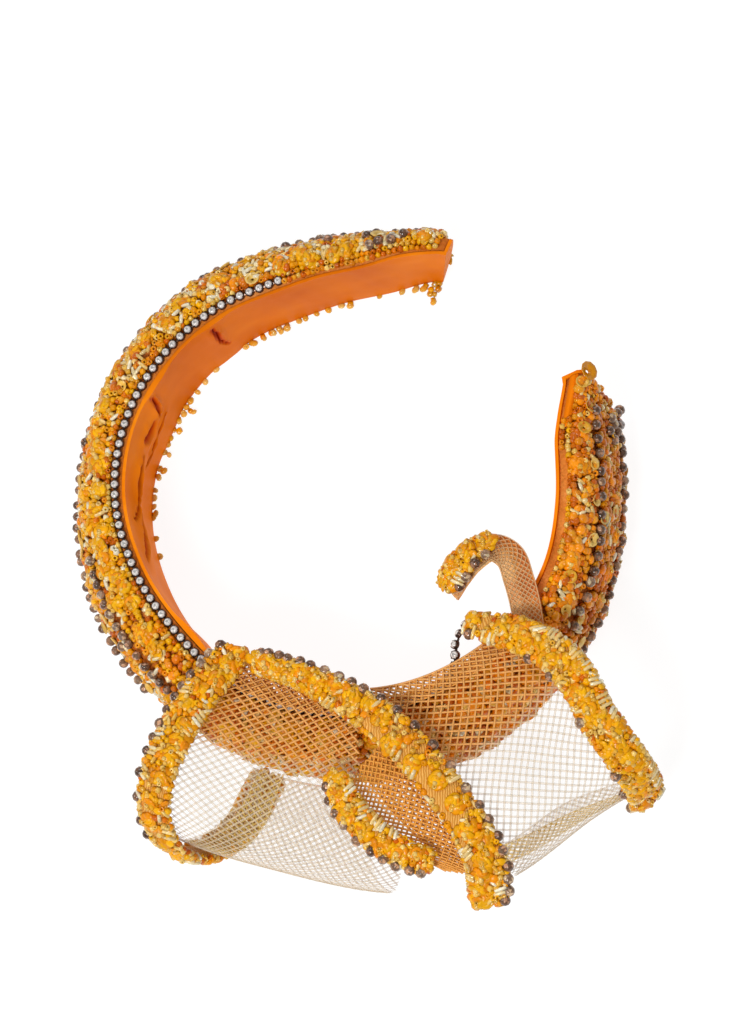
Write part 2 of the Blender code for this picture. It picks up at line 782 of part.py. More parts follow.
def stand_on_origin():
    """Moves every piece alike, so that the box round them stands centred on the origin."""
    bpy.context.view_layer.update()
    graph = bpy.context.evaluated_depsgraph_get()
    corners = []
    for thing in bpy.context.collection.objects:
        mesh = thing.evaluated_get(graph).to_mesh()
        corners += [thing.matrix_world @ vertex.co for vertex in mesh.vertices]
    low = Vector([min(corner[axis] for corner in corners) for axis in range(3)])
    high = Vector([max(corner[axis] for corner in corners) for axis in range(3)])
    middle = (low + high) / 2
    for thing in bpy.context.collection.objects:
        thing.location = (-middle.x, -middle.y, -low.z)


def main():
    for thing in list(bpy.data.objects):
        bpy.data.objects.remove(thing, do_unlink=True)
    cloth = material("pad_cloth", (0.50, 0.13, 0.01), 0.7)
    satin = material("orange_satin", (0.75, 0.15, 0.02), 0.35)
    amber = material("amber_beads", (0.80, 0.42, 0.02), 0.25)
    crystal = material("clear_crystal", (0.80, 0.80, 0.82), 0.08, 0.4)
    smoke = material("smoke_crystal", (0.16, 0.09, 0.07), 0.12)
    mesh_net = material("gold_net", (0.72, 0.42, 0.16), 0.45)
    build_pad(cloth)
    build_bead_layer(amber)
    build_lining(satin)
    build_chain(crystal)
    build_bead_strings(smoke)
    build_wing("left_wing", LEFT_WING, LEFT_CELLS, mesh_net)
    build_wing("right_wing", RIGHT_WING, RIGHT_CELLS, mesh_net)
    build_ribbon_end(mesh_net)
    build_rolls(amber)
    build_tail(mesh_net, amber)
    stand_on_origin()


main()
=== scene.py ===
"""Crystal headband, in full detail over its CAD frame: bead embroidery, satin lining, cup chain and
a bow of stiff net with beaded trims. Sizes are in millimetres and places are in the band's own
frame, an angle from the crown with a radius and a height, until make_mesh takes them to metres."""

import random
from math import acos, atan2, cos, degrees, pi, radians, sin, tau

import bpy
import numpy as np
from mathutils import Matrix, Quaternion, Vector


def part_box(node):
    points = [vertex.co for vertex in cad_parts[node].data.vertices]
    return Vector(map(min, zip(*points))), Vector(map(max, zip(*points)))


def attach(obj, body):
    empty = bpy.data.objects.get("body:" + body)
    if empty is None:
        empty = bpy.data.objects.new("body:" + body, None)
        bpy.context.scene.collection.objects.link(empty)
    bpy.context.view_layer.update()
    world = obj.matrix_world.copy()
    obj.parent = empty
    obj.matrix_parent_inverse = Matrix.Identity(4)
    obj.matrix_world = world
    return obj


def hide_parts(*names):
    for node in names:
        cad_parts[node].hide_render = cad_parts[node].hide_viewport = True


MM = 0.001
UP = Vector((0.0, 0.0, 1.0))

# Driving sizes of the band, as in the CAD
HEAD_RADIUS = 68.0
HEAD_FLARE = 3.0
PAD_WIDTH = 33.0
PAD_HEIGHT = 14.2
DOME_FULLNESS = 0.75
BEAD_LAYER = 2.4
THIN_BEADS = 0.9
LINING_WALL = 1.0
LINING_INSET = 1.6
CLEARANCE = 0.3
CHAIN_PITCH = 3.2
CUP_WIDTH = 2.8
CUP_HEIGHT = 1.5
STONE_CROWN = 0.6
STRING_WIDTH = 3.4
NET_WALL = 1.0
BOW_REACH = 38.0
BOW_RISE = 9.0
BOW_DROOP = 40.0
BOW_INNER = 0.93
BACK_HEIGHT = 7.0
ROLL_WIDTH = 12.0
ROLL_HEIGHT = 4.6
TAIL_WIDTH = 9.0

# Sizes of the fine parts
SEED_WIDTH = 2.2
BUGLE_LENGTH = 3.4
PETAL_WIDTH = 4.0
CRYSTAL_PITCH = 3.8
STRAND_WIDTH = 0.66
DOUBLE_STRAND = 0.62
TAIL_STRAND = 0.42
STRAND_HEIGHT = 0.24
WEAVE_HEIGHT = 0.06

# Plan of the band: angle, radius inside the lining's near edge and dome height, as shares
PLAN = (
    # angle, radius, dome
    (-156.0, 1.065, 0.46),
    (-148.0, 0.991, 0.64),
    (-140.0, 0.953, 0.74),
    (-125.0, 0.963, 0.75),
    (-108.0, 0.995, 0.75),
    (-90.0, 1.004, 0.86),
    (-65.0, 1.015, 1.00),
    (-40.0, 1.003, 1.00),
    (-15.0, 0.975, 1.10),
    (5.0, 0.953, 1.24),
    (25.0, 0.975, 1.20),
    (45.0, 1.009, 1.06),
    (65.0, 1.016, 1.02),
    (85.0, 0.995, 1.06),
    (100.0, 0.968, 1.06),
    (115.0, 0.934, 0.96),
    (128.0, 0.938, 0.84),
    (140.0, 0.962, 0.70),
    (150.0, 1.030, 0.52),
    (160.0, 1.095, 0.34),
)

# Where the band ends on each side: angle at its far edge and at its near edge
END_ANGLES = ((-149.0, -155.3), (152.0, 159.6))

# Pleats across the lining: angle, lean in degrees over its width, half width in degrees, depth
PLEATS = (
    (94.5, 3.0, 4.0, 1.2),
    (71.0, 8.0, 5.0, 1.6),
    (4.0, -4.0, 5.0, 1.4),
)
# The long fold along the lining: first and last angle, share of the width, half width, depth
LONG_FOLD = (28.0, 62.0, 0.62, 0.14, 1.5)

# Route of the cup chain: angle, radius as a share of its seat's, rise and outward lean
CHAIN_ROUTE = (
    # angle, share, rise, lean
    (117.5, 1.000, 0.0, 0.0),
    (0.0, 1.000, 0.0, 0.0),
    (-64.0, 1.000, 0.0, 0.0),
    (-70.0, 0.992, 0.2, 0.0),
    (-75.0, 0.945, 0.2, 0.0),
    (-78.2, 0.884, 0.3, -50.0),
    (-81.8, 0.856, 0.6, -80.0),
    (-86.1, 0.845, 0.8, -80.0),
)

# Strings of crystal beads on the dome: name, two angles and the share of the dome at each
BEAD_STRINGS = (
    ("ridge_string_left", 2.0, 156.0, 0.53, 0.53),
    ("flank_string_left", -10.0, 32.0, 0.76, 0.80),
    ("flank_string_right", -98.0, -146.0, 0.68, 0.80),
    ("ridge_string_right", -98.0, -150.0, 0.40, 0.40),
)

# Sections of each wing of the bow, one row from its mouth to the middle of the bow
LEFT_WING = (
    # along, inner angle, fold angle, skew, inner, reach, sweep, back, bulge
    (0.00, -9.6, -12.3, -8.5, 0.930, 0.80, 180.0, 0.04, 0.05),
    (0.50, -29.0, -32.0, -3.5, 0.920, 0.79, 180.0, 0.03, 0.02),
    (1.00, -50.0, -50.3, 0.0, 0.955, 0.93, 180.0, 0.03, 0.00),
)
RIGHT_WING = (
    # along, inner angle, fold angle, skew, inner, reach, sweep, back, bulge
    (0.00, -92.5, -92.0, 4.5, 1.030, 1.14, 150.0, 0.0, 0.16),
    (0.50, -72.0, -80.0, 2.0, 0.985, 1.02, 168.0, 0.0, 0.08),
    (1.00, -53.0, -67.0, 0.0, 0.955, 1.06, 172.0, 0.0, 0.00),
)
LEFT_CELLS = (4, 4, 4, 3)
RIGHT_CELLS = (5, 4, 5, 0)

# The loose end of the ribbon over the middle: its two long edges as angle and reach
RIBBON_END = (
    # along, left angle, left reach, right angle, right reach
    (0.0, -47.7, 0.15, -55.8, -0.18),
    (0.5, -53.6, 0.57, -62.3, 0.50),
    (1.0, -60.5, 0.95, -65.8, 1.11),
)

# Route of the roll that crosses the bow: angle, share of the lining's radius and share of width
CROSSING_ROUTE = (
    (-21.5, 0.915, 0.66),
    (-28.0, 0.905, 0.66),
    (-35.0, 0.912, 0.72),
    (-43.7, 0.965, 0.84),
    (-52.0, 1.056, 0.94),
    (-58.5, 1.204, 1.00),
    (-63.2, 1.415, 1.00),
    (-65.7, 1.653, 1.00),
    (-66.2, 1.797, 1.06),
    (-65.4, 1.907, 1.10),
    (-64.0, 1.986, 1.00),
)
FLAP_ROUTE = (
    (-46.4, 1.358, 0.74),
    (-48.6, 1.483, 0.80),
    (-52.3, 1.617, 0.80),
    (-56.2, 1.716, 0.74),
    (-59.7, 1.773, 0.66),
)

# Middle line of the small curled tail: angle, share of the lining's radius, rise and turn
TAIL_ROUTE = (
    (-97.0, 1.045, 0.0, 0.0),
    (-101.9, 0.955, 2.0, 8.0),
    (-106.0, 0.880, 4.0, 15.0),
    (-105.7, 0.795, 5.0, 20.0),
    (-99.3, 0.740, 4.0, 15.0),
    (-92.5, 0.722, 2.0, 10.0),
    (-86.5, 0.722, 0.0, 5.0),
)

# Lattice of each net: direction of its two strand families in plan, in degrees, and their pitch
LEFT_LATTICE = ((-9.0, 1.80), (74.0, 1.62))
RIGHT_LATTICE = ((37.0, 1.86), (-45.0, 1.86))
HEM_LATTICE = ((38.0, 1.4), (-47.0, 1.4))
UNDER_LATTICE = ((84.0, 1.3), (-4.0, 1.3))
TAIL_LATTICE = ((43.0, 1.15), (-43.0, 1.15))

# Double net along the wings' edges: the wing, then each end of the hem's two sides as the share
# along the wing and the cell count round its section
WING_HEMS = (
    # name, wing, first side from, to, second side from, to, lattice, depth
    ("left_back_hem", "left_wing", (0.05, 6.2), (0.06, 11.3), (0.23, 6.2), (0.22, 11.3),
     HEM_LATTICE, 0.5),
    ("left_inner_hem", "left_wing", (0.0, 0.02), (1.0, 0.02), (0.0, 0.90), (1.0, 0.75),
     HEM_LATTICE, 0.5),
    ("left_inner_under", "left_wing", (0.0, 0.05), (1.0, 0.05), (0.0, 0.70), (1.0, 0.55),
     UNDER_LATTICE, 0.9),
    ("right_inner_hem", "right_wing", (0.0, 0.02), (1.0, 0.02), (0.0, 0.62), (1.0, 0.68),
     HEM_LATTICE, 0.5),
    ("right_back_hem", "right_wing", (0.0, 7.2), (1.0, 8.3), (0.0, 8.0), (1.0, 9.0),
     HEM_LATTICE, 0.5),
)

# Creases of the lining, each a line of places with its half width and how far the cloth beside it
# stands in, both in millimetres
CREASES = (
    # angle, up, half width, lip
    ((95.0, 0.93, 0.5, 0.9), (95.0, 0.74, 0.75, 1.1), (94.5, 0.55, 0.5, 0.8), (95.5, 0.36, 0.3, 0.4)),
    ((71.0, 0.96, 0.4, 0.8), (71.0, 0.88, 0.5, 1.0), (70.5, 0.74, 0.6, 1.2), (69.5, 0.62, 0.6, 0.9)),
    ((66.5, 0.62, 0.8, 0.6), (64.5, 0.61, 1.5, 0.8), (62.5, 0.64, 1.3, 0.9), (61.0, 0.70, 0.6, 0.6)),
    ((70.5, 0.46, 0.5, 0.7), (66.0, 0.44, 0.6, 0.9), (61.0, 0.40, 0.5, 0.7)),
    ((62.5, 0.34, 0.5, 0.6), (58.5, 0.37, 0.6, 0.6), (55.5, 0.45, 0.4, 0.5)),
    ((57.0, 0.66, 0.4, 0.6), (53.0, 0.68, 0.8, 1.1), (50.0, 0.68, 1.1, 1.3), (47.5, 0.68, 0.9, 1.2),
     (45.0, 0.69, 0.5, 1.0), (42.0, 0.72, 0.5, 0.8), (39.5, 0.78, 0.3, 0.5)),
    ((41.5, 0.64, 0.4, 0.6), (37.5, 0.65, 0.8, 0.9), (34.5, 0.68, 1.0, 0.9), (31.5, 0.73, 0.9, 0.7),
     (28.0, 0.79, 0.4, 0.4)),
    ((-20.0, 0.55, 0.6, 0.6), (-32.0, 0.62, 0.8, 0.7), (-44.0, 0.58, 0.5, 0.5)),
    ((-96.0, 0.70, 0.5, 0.5), (-97.5, 0.40, 0.7, 0.6), (-96.0, 0.15, 0.4, 0.4)),
    ((-128.0, 0.60, 0.5, 0.4), (-134.0, 0.45, 0.6, 0.5), (-141.0, 0.42, 0.4, 0.4)),
)

# Heights that follow from the sizes above
PAD_LOW = BEAD_LAYER + CLEARANCE
PAD_HIGH = PAD_LOW + PAD_WIDTH
PAD_INNER = LINING_WALL + CLEARANCE
CHAIN_OUT = PAD_INNER + CUP_WIDTH / 2 + CLEARANCE
PAD_SHOULDER = CHAIN_OUT + CUP_WIDTH / 2 + 2 * CLEARANCE - PAD_INNER
CHAIN_HIGH = PAD_HIGH + CLEARANCE + CUP_HEIGHT + STONE_CROWN
BAND_HIGH = max(PAD_HIGH + CLEARANCE + BEAD_LAYER, CHAIN_HIGH)
BAND_OUT = PAD_INNER + PAD_HEIGHT + CLEARANCE + BEAD_LAYER
FRONT_HEIGHT = BAND_HIGH + CLEARANCE + NET_WALL / 2
RIBBON_HEIGHT = FRONT_HEIGHT + NET_WALL + CLEARANCE
FOLD_REACH = (FRONT_HEIGHT - BACK_HEIGHT) / 2
NET_TO_ROLL = NET_WALL / 2 + CLEARANCE + ROLL_HEIGHT / 2

# Profiles of the turned forms: radius and height as shares of their width and length
SEED_PROFILE = ((0.17, 0.36), (0.4, 0.36), (0.5, 0.0), (0.4, -0.36), (0.17, -0.36))
BUGLE_PROFILE = ((0.2, 0.5), (0.4, 0.42), (0.5, 0.0), (0.4, -0.42), (0.2, -0.5))
SEQUIN_PROFILE = ((0.1, -0.02), (0.34, 0.05), (0.5, 0.2), (0.47, 0.23), (0.3, 0.1), (0.1, 0.04))
CUP_PROFILE = ((0.43, 0.0), (0.5, 0.12), (0.5, 0.80), (0.47, 0.9), (0.43, 0.8), (0.3, 0.2))
CLAW_PROFILE = ((0.02, 0.5), (0.45, 0.25), (0.45, -0.5), (0.02, -0.5))
LINK_PROFILE = ((0.02, 0.5), (0.5, 0.5), (0.5, -0.5), (0.02, -0.5))

# Sides of the faceted beads, stones and petals, and of a roll's band
FACET_SIDES = 8
ROLL_SIDES = 14

# How far a roll's band lies inside its beads. How much wider than the roll its cut is declared
ROLL_INSET = 1.05

# Steps along and round a wing's flat cloth, and the samples round it that they are read from
WING_COLUMNS, WING_STEPS, WING_SAMPLES = 61, 121, 160

# Rows of small beads over the dome: first and last angle, their number, and the far arm's angle
FIELD_ANGLES = (-156.0, 160.0)
FIELD_ROWS = 27
DEEP_ANGLE = -60.0

# Spacing of the small beads' rows on the near shoulder, under the lining's edge and round a roll
SHOULDER_PITCH = 1.9
FRINGE_PITCH = 1.8
ROLL_PITCH = 1.85

# Width of a cut stone
STONE_WIDTH = 2.62

# The share of the band's length at each end that has no small beads, and no strings
END_MARGIN = 0.004
STRING_MARGIN = 0.008

# Painted highlight streaks and shade on a bugle's sides, round it and along it
PAINTED_BUGLE_STREAKS = (1.0, 1.0, 1.0, 0.95, 0.9, 0.95, 0.85, 0.85, 0.9, 0.85)

# Painted glints and shade on the facets of a crystal bead, standing in for the light it refracts
PAINTED_FACET_SHADING = (0.45, 0.7, 1.1, 2.3)

# Turn between one petal of a clump and the next, length of the dome across and a degree along it
GOLDEN_TURN = radians(137.5)
DOME_LENGTH = 46.0
BEAD_TURN = 84.0 * radians(1.0)
FIELD_PITCH = 1.95 / BEAD_TURN

WHITE = (1.0, 1.0, 1.0)

chance = random.Random(11)


def at(angle, radius, height):
    """The point at an angle from the crown, a radius from the band's axis and a height."""
    turn = radians(angle)
    return Vector((radius * sin(turn), radius * cos(turn), height))


def read(rows, place):
    """All columns but the first at a place in the first, on a smooth curve through the rows."""
    keys = [row[0] for row in rows]
    step = 1 if keys[-1] > keys[0] else -1
    spot = sorted((keys[0] * step, place * step, keys[-1] * step))[1]
    last = len(rows) - 2
    low = min(sum(1 for key in keys[1:-1] if key * step <= spot), last)

    def slope(index, column):
        before = rows[max(index - 1, 0)]
        after = rows[min(index + 1, len(rows) - 1)]
        return (after[column] - before[column]) / ((after[0] - before[0]) * step)

    span = (keys[low + 1] - keys[low]) * step
    part = (spot - keys[low] * step) / span
    values = []
    for column in range(1, len(rows[0])):
        start, end = rows[low][column], rows[low + 1][column]
        out, into = slope(low, column) * span, slope(low + 1, column) * span
        values.append(
            start * (2 * part**3 - 3 * part**2 + 1)
            + out * (part**3 - 2 * part**2 + part)
            + end * (3 * part**2 - 2 * part**3)
            + into * (part**3 - part**2)
        )
    return values


def lining_radius(angle, up=1.0):
    """The radius of the lining's inner face, which flares from its near edge to its far one."""
    return HEAD_RADIUS * read(PLAN, angle)[0] + HEAD_FLARE * (1.0 - up)


def dome_height(angle):
    """The pad's height, which falls towards the band's ends."""
    return PAD_HEIGHT * read(PLAN, angle)[1]


def band_angle(along, up):
    """The angle at a share of the way along the band, whose ends are cut at a slant."""
    (first_far, first_near), (last_far, last_near) = END_ANGLES
    first = first_far + (first_near - first_far) * up
    last = last_far + (last_near - last_far) * up
    return first + (last - first) * along


def dome_point(share, height):
    """Outward and upward place on the dome, from its far shoulder at 0 to its near one at 1."""
    turn = pi * share
    out = PAD_SHOULDER + (height - PAD_SHOULDER) * max(sin(turn), 0.0) ** DOME_FULLNESS
    return out, PAD_WIDTH * (0.5 - 0.5 * cos(turn))


def dome_normal(share, height):
    """The direction that faces off the dome at a share of it, in the plane of its section."""
    nudge = 0.02
    if share in (0.0, 1.0):
        return 0.0, (-1.0 if share == 0.0 else 1.0)
    low = dome_point(max(share - nudge, 0.0), height)
    high = dome_point(min(share + nudge, 1.0), height)
    run, rise = high[0] - low[0], high[1] - low[1]
    length = (run * run + rise * rise) ** 0.5
    return rise / length, -run / length


def on_dome(along, share, off):
    """The point at a distance off the dome, and the direction that faces off it."""
    up = dome_point(share, PAD_HEIGHT)[1] / PAD_WIDTH
    angle = band_angle(along, up)
    height = dome_height(angle)
    out, rise = dome_point(share, height)
    normal = dome_normal(share, height)
    radius = lining_radius(angle, up) + PAD_INNER + out + normal[0] * off
    facing = at(angle, normal[0], normal[1])
    return at(angle, radius, PAD_LOW + rise + normal[1] * off), facing


def share_at(up):
    """The share of the dome that stands at a share of the pad's width."""
    return acos(1.0 - 2.0 * up) / pi


def end_turn(along, radius, distance):
    """The turn in degrees that takes a point past the band's nearer end by a distance."""
    if along not in (0.0, 1.0):
        return 0.0
    return (1 if along else -1) * distance / radius / radians(1.0)


def band_outer(angle):
    """The radius outside the bead layer at its widest."""
    return lining_radius(angle, 0.5) + BAND_OUT - PAD_HEIGHT + dome_height(angle)


def bow_rise(point):
    """How far the bow's front stands above the band at a place in its plan."""
    angle = degrees(atan2(point.x, point.y))
    inner = lining_radius(angle) * BOW_INNER
    turn = band_outer(angle) + BOW_REACH - FOLD_REACH
    radius = (point.x**2 + point.y**2) ** 0.5
    share = min(max((radius - inner) / (turn - inner), 0.0), 1.0)
    return BOW_RISE * sin(pi / 2 * share) - max(radius - turn, 0.0) ** 2 / (2 * BOW_DROOP)


def wing_point(rows, cells, along, step):
    """The point on a wing at a share of its length and a cell count round its section."""
    inner_angle, fold_angle, skew, inner, reach, sweep, back, bulge = read(rows, along)
    flat_cells, fold_cells, back_cells = cells[1:]
    start = at(inner_angle, lining_radius(inner_angle) * inner, 0.0)
    fold = at(fold_angle, band_outer(fold_angle) + BOW_REACH * reach, 0.0)
    outward = (fold - start).normalized()
    turn_point = fold - outward * FOLD_REACH
    if step <= flat_cells:
        share = step / flat_cells
        aside = outward.cross(UP)
        spot = start.lerp(turn_point, share)
        spot += aside * BOW_REACH * bulge * (1 if rows is LEFT_WING else -1) * sin(pi * share)
        spot.z = FRONT_HEIGHT + bow_rise(spot)
        return spot
    half = (FRONT_HEIGHT + bow_rise(turn_point) - BACK_HEIGHT) / 2
    round_share = min((step - flat_cells) / fold_cells, 1.0)
    turn = radians(sweep) * round_share
    spot = turn_point + outward * FOLD_REACH * sin(turn)
    spot.rotate(Quaternion((0.0, 0.0, 1.0), -radians(skew) * round_share))
    spot.z = BACK_HEIGHT + half + half * cos(turn)
    if step <= flat_cells + fold_cells:
        return spot
    back_angle = fold_angle + skew
    back_edge = at(back_angle, band_outer(back_angle) + BOW_REACH * back, spot.z)
    return spot.lerp(back_edge, (step - flat_cells - fold_cells) / back_cells)


def wing_normal(rows, cells, along, step):
    """The direction off a wing's outer side."""
    nudge = 0.02
    last = sum(cells[1:])
    ahead = wing_point(rows, cells, along, min(step + nudge, last))
    behind = wing_point(rows, cells, along, max(step - nudge, 0))
    right = wing_point(rows, cells, min(along + nudge, 1.0), step)
    left = wing_point(rows, cells, max(along - nudge, 0.0), step)
    normal = (ahead - behind).cross(right - left).normalized()
    start = wing_point(rows, cells, along, 0)
    middle = (FRONT_HEIGHT + BOW_RISE + BACK_HEIGHT) / 2
    away = Vector((0.0, 0.0, ahead.z - middle)) + (ahead - start).normalized() * 0.01
    return normal if normal.dot(away) > 0 else -normal


def ribbon_point(along, across):
    """The point on the loose ribbon end, from its left edge at 0 to its right one at 1."""
    left_angle, left_reach, right_angle, right_reach = read(RIBBON_END, along)
    left = at(left_angle, band_outer(left_angle) + BOW_REACH * left_reach, 0.0)
    right = at(right_angle, band_outer(right_angle) + BOW_REACH * right_reach, 0.0)
    spot = left.lerp(right, across)
    spot.z = RIBBON_HEIGHT + bow_rise(spot)
    return spot


def front_spine(route, height):
    """Spine of a roll that lies on the bow's front, through angles and shares of the radius."""
    keyed = [(index, *row) for index, row in enumerate(route)]
    steps = 4 * (len(route) - 1)
    centres, widths = [], []
    for step in range(steps + 1):
        angle, share, width = read(keyed, step / 4)
        centre = at(angle, lining_radius(angle) * share, height)
        centre.z += bow_rise(centre)
        centres.append(centre)
        widths.append(width)
    spine = []
    for step, centre in enumerate(centres):
        forward = (centres[min(step + 1, steps)] - centres[max(step - 1, 0)]).normalized()
        side = UP.cross(forward).normalized()
        spine.append((centre, side, forward.cross(side), widths[step]))
    return spine


def mouth_spine(rows, cells, first, last, lead):
    """Spine of the roll round a wing's mouth, on its outer side, between two cell counts."""
    spine = []
    near, nudge = 0.0, 0.05
    steps = 4 * (last - first)
    for index in range(steps + 1):
        step = first + (last - first) * index / steps
        edge = wing_point(rows, cells, near, step)
        side = (wing_point(rows, cells, near + nudge, step) - edge).normalized()
        normal = wing_normal(rows, cells, near, step)
        centre = edge + side * ROLL_WIDTH * 0.4 + normal * NET_TO_ROLL
        spine.append((centre, side, normal, 1.0))
    if lead:
        centre, side, normal, _ = spine[0]
        back = (centre - spine[1][0]).normalized()
        spine.insert(0, (centre + back * lead, side, normal, 1.0))
    return spine


def tail_frames(route, steps):
    """Centres, side and up directions along a route of the small curled tail."""
    keyed = [(index, *row) for index, row in enumerate(route)]
    centres, turns = [], []
    for step in range(steps + 1):
        angle, share, rise, turn = read(keyed, (len(route) - 1) * step / steps)
        centres.append(at(angle, lining_radius(angle) * share, FRONT_HEIGHT + rise))
        turns.append(turn)
    frames = []
    for step, centre in enumerate(centres):
        ahead = centres[min(step + 1, steps)]
        behind = centres[max(step - 1, 0)]
        forward = (ahead - behind).normalized()
        level = UP.cross(forward).normalized()
        lean = radians(turns[step])
        side = (level * cos(lean) + UP * sin(lean)).normalized()
        frames.append((centre, side, forward.cross(side).normalized()))
    return frames


def chain_frames():
    """Centre, forward, side and up directions of each cup, one pitch apart along the route."""
    samples = []
    steps = 1200
    first, last = CHAIN_ROUTE[0][0], CHAIN_ROUTE[-1][0]
    for step in range(steps + 1):
        angle = first + (last - first) * step / steps
        share, rise, lean = read(CHAIN_ROUTE, angle)
        radius = (lining_radius(angle) + CHAIN_OUT) * share
        height = PAD_HIGH + CLEARANCE + CUP_HEIGHT * rise
        outward = at(angle, 1.0, 0.0)
        up = UP * cos(radians(lean)) + outward * sin(radians(lean))
        samples.append((at(angle, radius, height), up))
    frames, travelled = [], 0.0
    for index in range(1, steps):
        travelled += (samples[index][0] - samples[index - 1][0]).length
        if travelled >= CHAIN_PITCH * len(frames):
            forward = (samples[index + 1][0] - samples[index - 1][0]).normalized()
            side = samples[index][1].cross(forward).normalized()
            frames.append((samples[index][0], forward, side, forward.cross(side)))
    return frames


def band_shift():
    """The move that takes the band's own frame to the part's, from the pad's place in the CAD."""
    points = []
    for station in range(36):
        for share in (0.0, 0.14, 0.27, 0.40, 0.53, 0.66, 0.80, 0.90, 1.0):
            points.append(on_dome(station / 35, share, 0.0)[0])
    low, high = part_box("pad")
    middle = (Vector(low) + Vector(high)) / 2 / MM
    mine = [(min(p[axis] for p in points) + max(p[axis] for p in points)) / 2 for axis in (0, 1)]
    return Vector((middle.x - mine[0], middle.y - mine[1], 0.0))


def linear(red, green, blue):
    """A colour of 0 to 255, in the linear values that a shader takes."""
    values = []
    for part in (red, green, blue):
        level = part / 255
        values.append(level / 12.92 if level <= 0.04045 else ((level + 0.055) / 1.055) ** 2.4)
    return tuple(values)


# Meshes


def make_mesh(name, points, loops, totals, finish, tints=None, smooth=True, sharp=None):
    """A piece from arrays of points, corner indices and corner counts, with a tint per corner."""
    mesh = bpy.data.meshes.new(name)
    places = (np.asarray(points, dtype=np.float64) + np.array(SHIFT)) * MM
    mesh.vertices.add(len(places))
    mesh.vertices.foreach_set("co", places.astype(np.float32).ravel())
    mesh.loops.add(len(loops))
    mesh.loops.foreach_set("vertex_index", np.asarray(loops, dtype=np.int32))
    mesh.polygons.add(len(totals))
    starts = np.concatenate(([0], np.cumsum(totals)[:-1])).astype(np.int32)
    mesh.polygons.foreach_set("loop_start", starts)
    mesh.polygons.foreach_set("loop_total", np.asarray(totals, dtype=np.int32))
    mesh.update(calc_edges=True)
    if tints is not None:
        layer = mesh.color_attributes.new("tint", "FLOAT_COLOR", "CORNER")
        full = np.concatenate((tints, np.ones((len(tints), 1))), axis=1)
        layer.data.foreach_set("color", full.astype(np.float32).ravel())
    mesh.validate()
    mesh.materials.append(finish)
    if smooth:
        mesh.shade_smooth()
        if sharp:
            mesh.set_sharp_from_angle(angle=radians(sharp))
    piece = bpy.data.objects.new(name, mesh)
    bpy.context.collection.objects.link(piece)
    return piece


def settle(piece, slot, *nodes):
    """Puts a piece on the root body in place of CAD nodes. The slot is not used."""
    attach(piece, "root")
    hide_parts(*nodes)


def tube_mesh(name, rings, finish):
    """A closed tube over rings of points, with a face over each end."""
    count = len(rings[0])
    points = [point for ring in rings for point in ring]
    loops = []
    for start in range(0, len(points) - count, count):
        for spot in range(count):
            after = (spot + 1) % count
            loops += [start + spot, start + after, start + count + after, start + count + spot]
    totals = [4] * (len(loops) // 4) + [count, count]
    loops += list(range(count - 1, -1, -1))
    loops += [len(points) - count + spot for spot in range(count)]
    return make_mesh(name, points, loops, totals, finish)


def wall_mesh(name, front, back, finish, shade):
    """A closed wall between two grids of points of the same size, with a shade per point."""
    rings = [list(f) + list(reversed(b)) for f, b in zip(front, back)]
    count, across = len(rings[0]), len(front[0])
    points = [point for ring in rings for point in ring]
    loops = []
    for start in range(0, len(points) - count, count):
        for spot in range(count):
            after = (spot + 1) % count
            loops += [start + spot, start + count + spot, start + count + after, start + after]
    for start in (0, len(points) - count):
        for spot in range(across - 1):
            low, high = count - 1 - spot, count - 2 - spot
            loops += [start + spot, start + spot + 1, start + high, start + low]
    totals = [4] * (len(loops) // 4)
    values = [value for row in shade for value in (*row, *reversed(row))]
    flat = np.array(values)[loops]
    tints = np.stack((flat, flat, flat), axis=1)
    return make_mesh(name, points, loops, totals, finish, tints, sharp=50.0)


def turned(profile, sides, shades=(1.0,)):
    """A form turned about its third axis through a closed profile of radius and height."""
    pairs = zip(profile, profile[1:] + profile[:1])
    if sum(start[0] * end[1] - end[0] * start[1] for start, end in pairs) < 0.0:
        profile = profile[::-1]
    count = len(profile)
    points = []
    for side in range(sides):
        turn = tau * side / sides
        points += [(radius * cos(turn), radius * sin(turn), height) for radius, height in profile]
    faces, tones = [], []
    for side in range(sides):
        start, end = side * count, (side + 1) % sides * count
        for spot in range(count):
            after = (spot + 1) % count
            faces.append((start + spot, end + spot, end + after, start + after))
            tones.append(shades[(side * count + spot) % len(shades)])
    return np.array(points), faces, np.array(tones)


def circles(rings, sides):
    """Points round circles, each with a radius, a height and a turn in shares of a side."""
    points = []
    for radius, height, lean in rings:
        for side in range(sides):
            turn = tau * (side + lean) / sides
            points.append((radius * cos(turn), radius * sin(turn), height))
    return points


def oval():
    """A flat round form with a pole on each side."""
    sides = FACET_SIDES
    rings = ((0.34, 0.38, 0.0), (0.5, 0.0, 0.0), (0.34, -0.38, 0.0))
    points = [(0.0, 0.0, 0.5), *circles(rings, sides), (0.0, 0.0, -0.5)]
    last = len(points) - 1
    faces = []
    for side in range(sides):
        after = (side + 1) % sides
        faces.append((0, 1 + side, 1 + after))
        for level in range(len(rings) - 1):
            high, low = 1 + level * sides, 1 + (level + 1) * sides
            faces.append((high + side, low + side, low + after, high + after))
        faces.append((last, last - sides + after, last - sides + side))
    return np.array(points), faces, np.ones(len(faces))


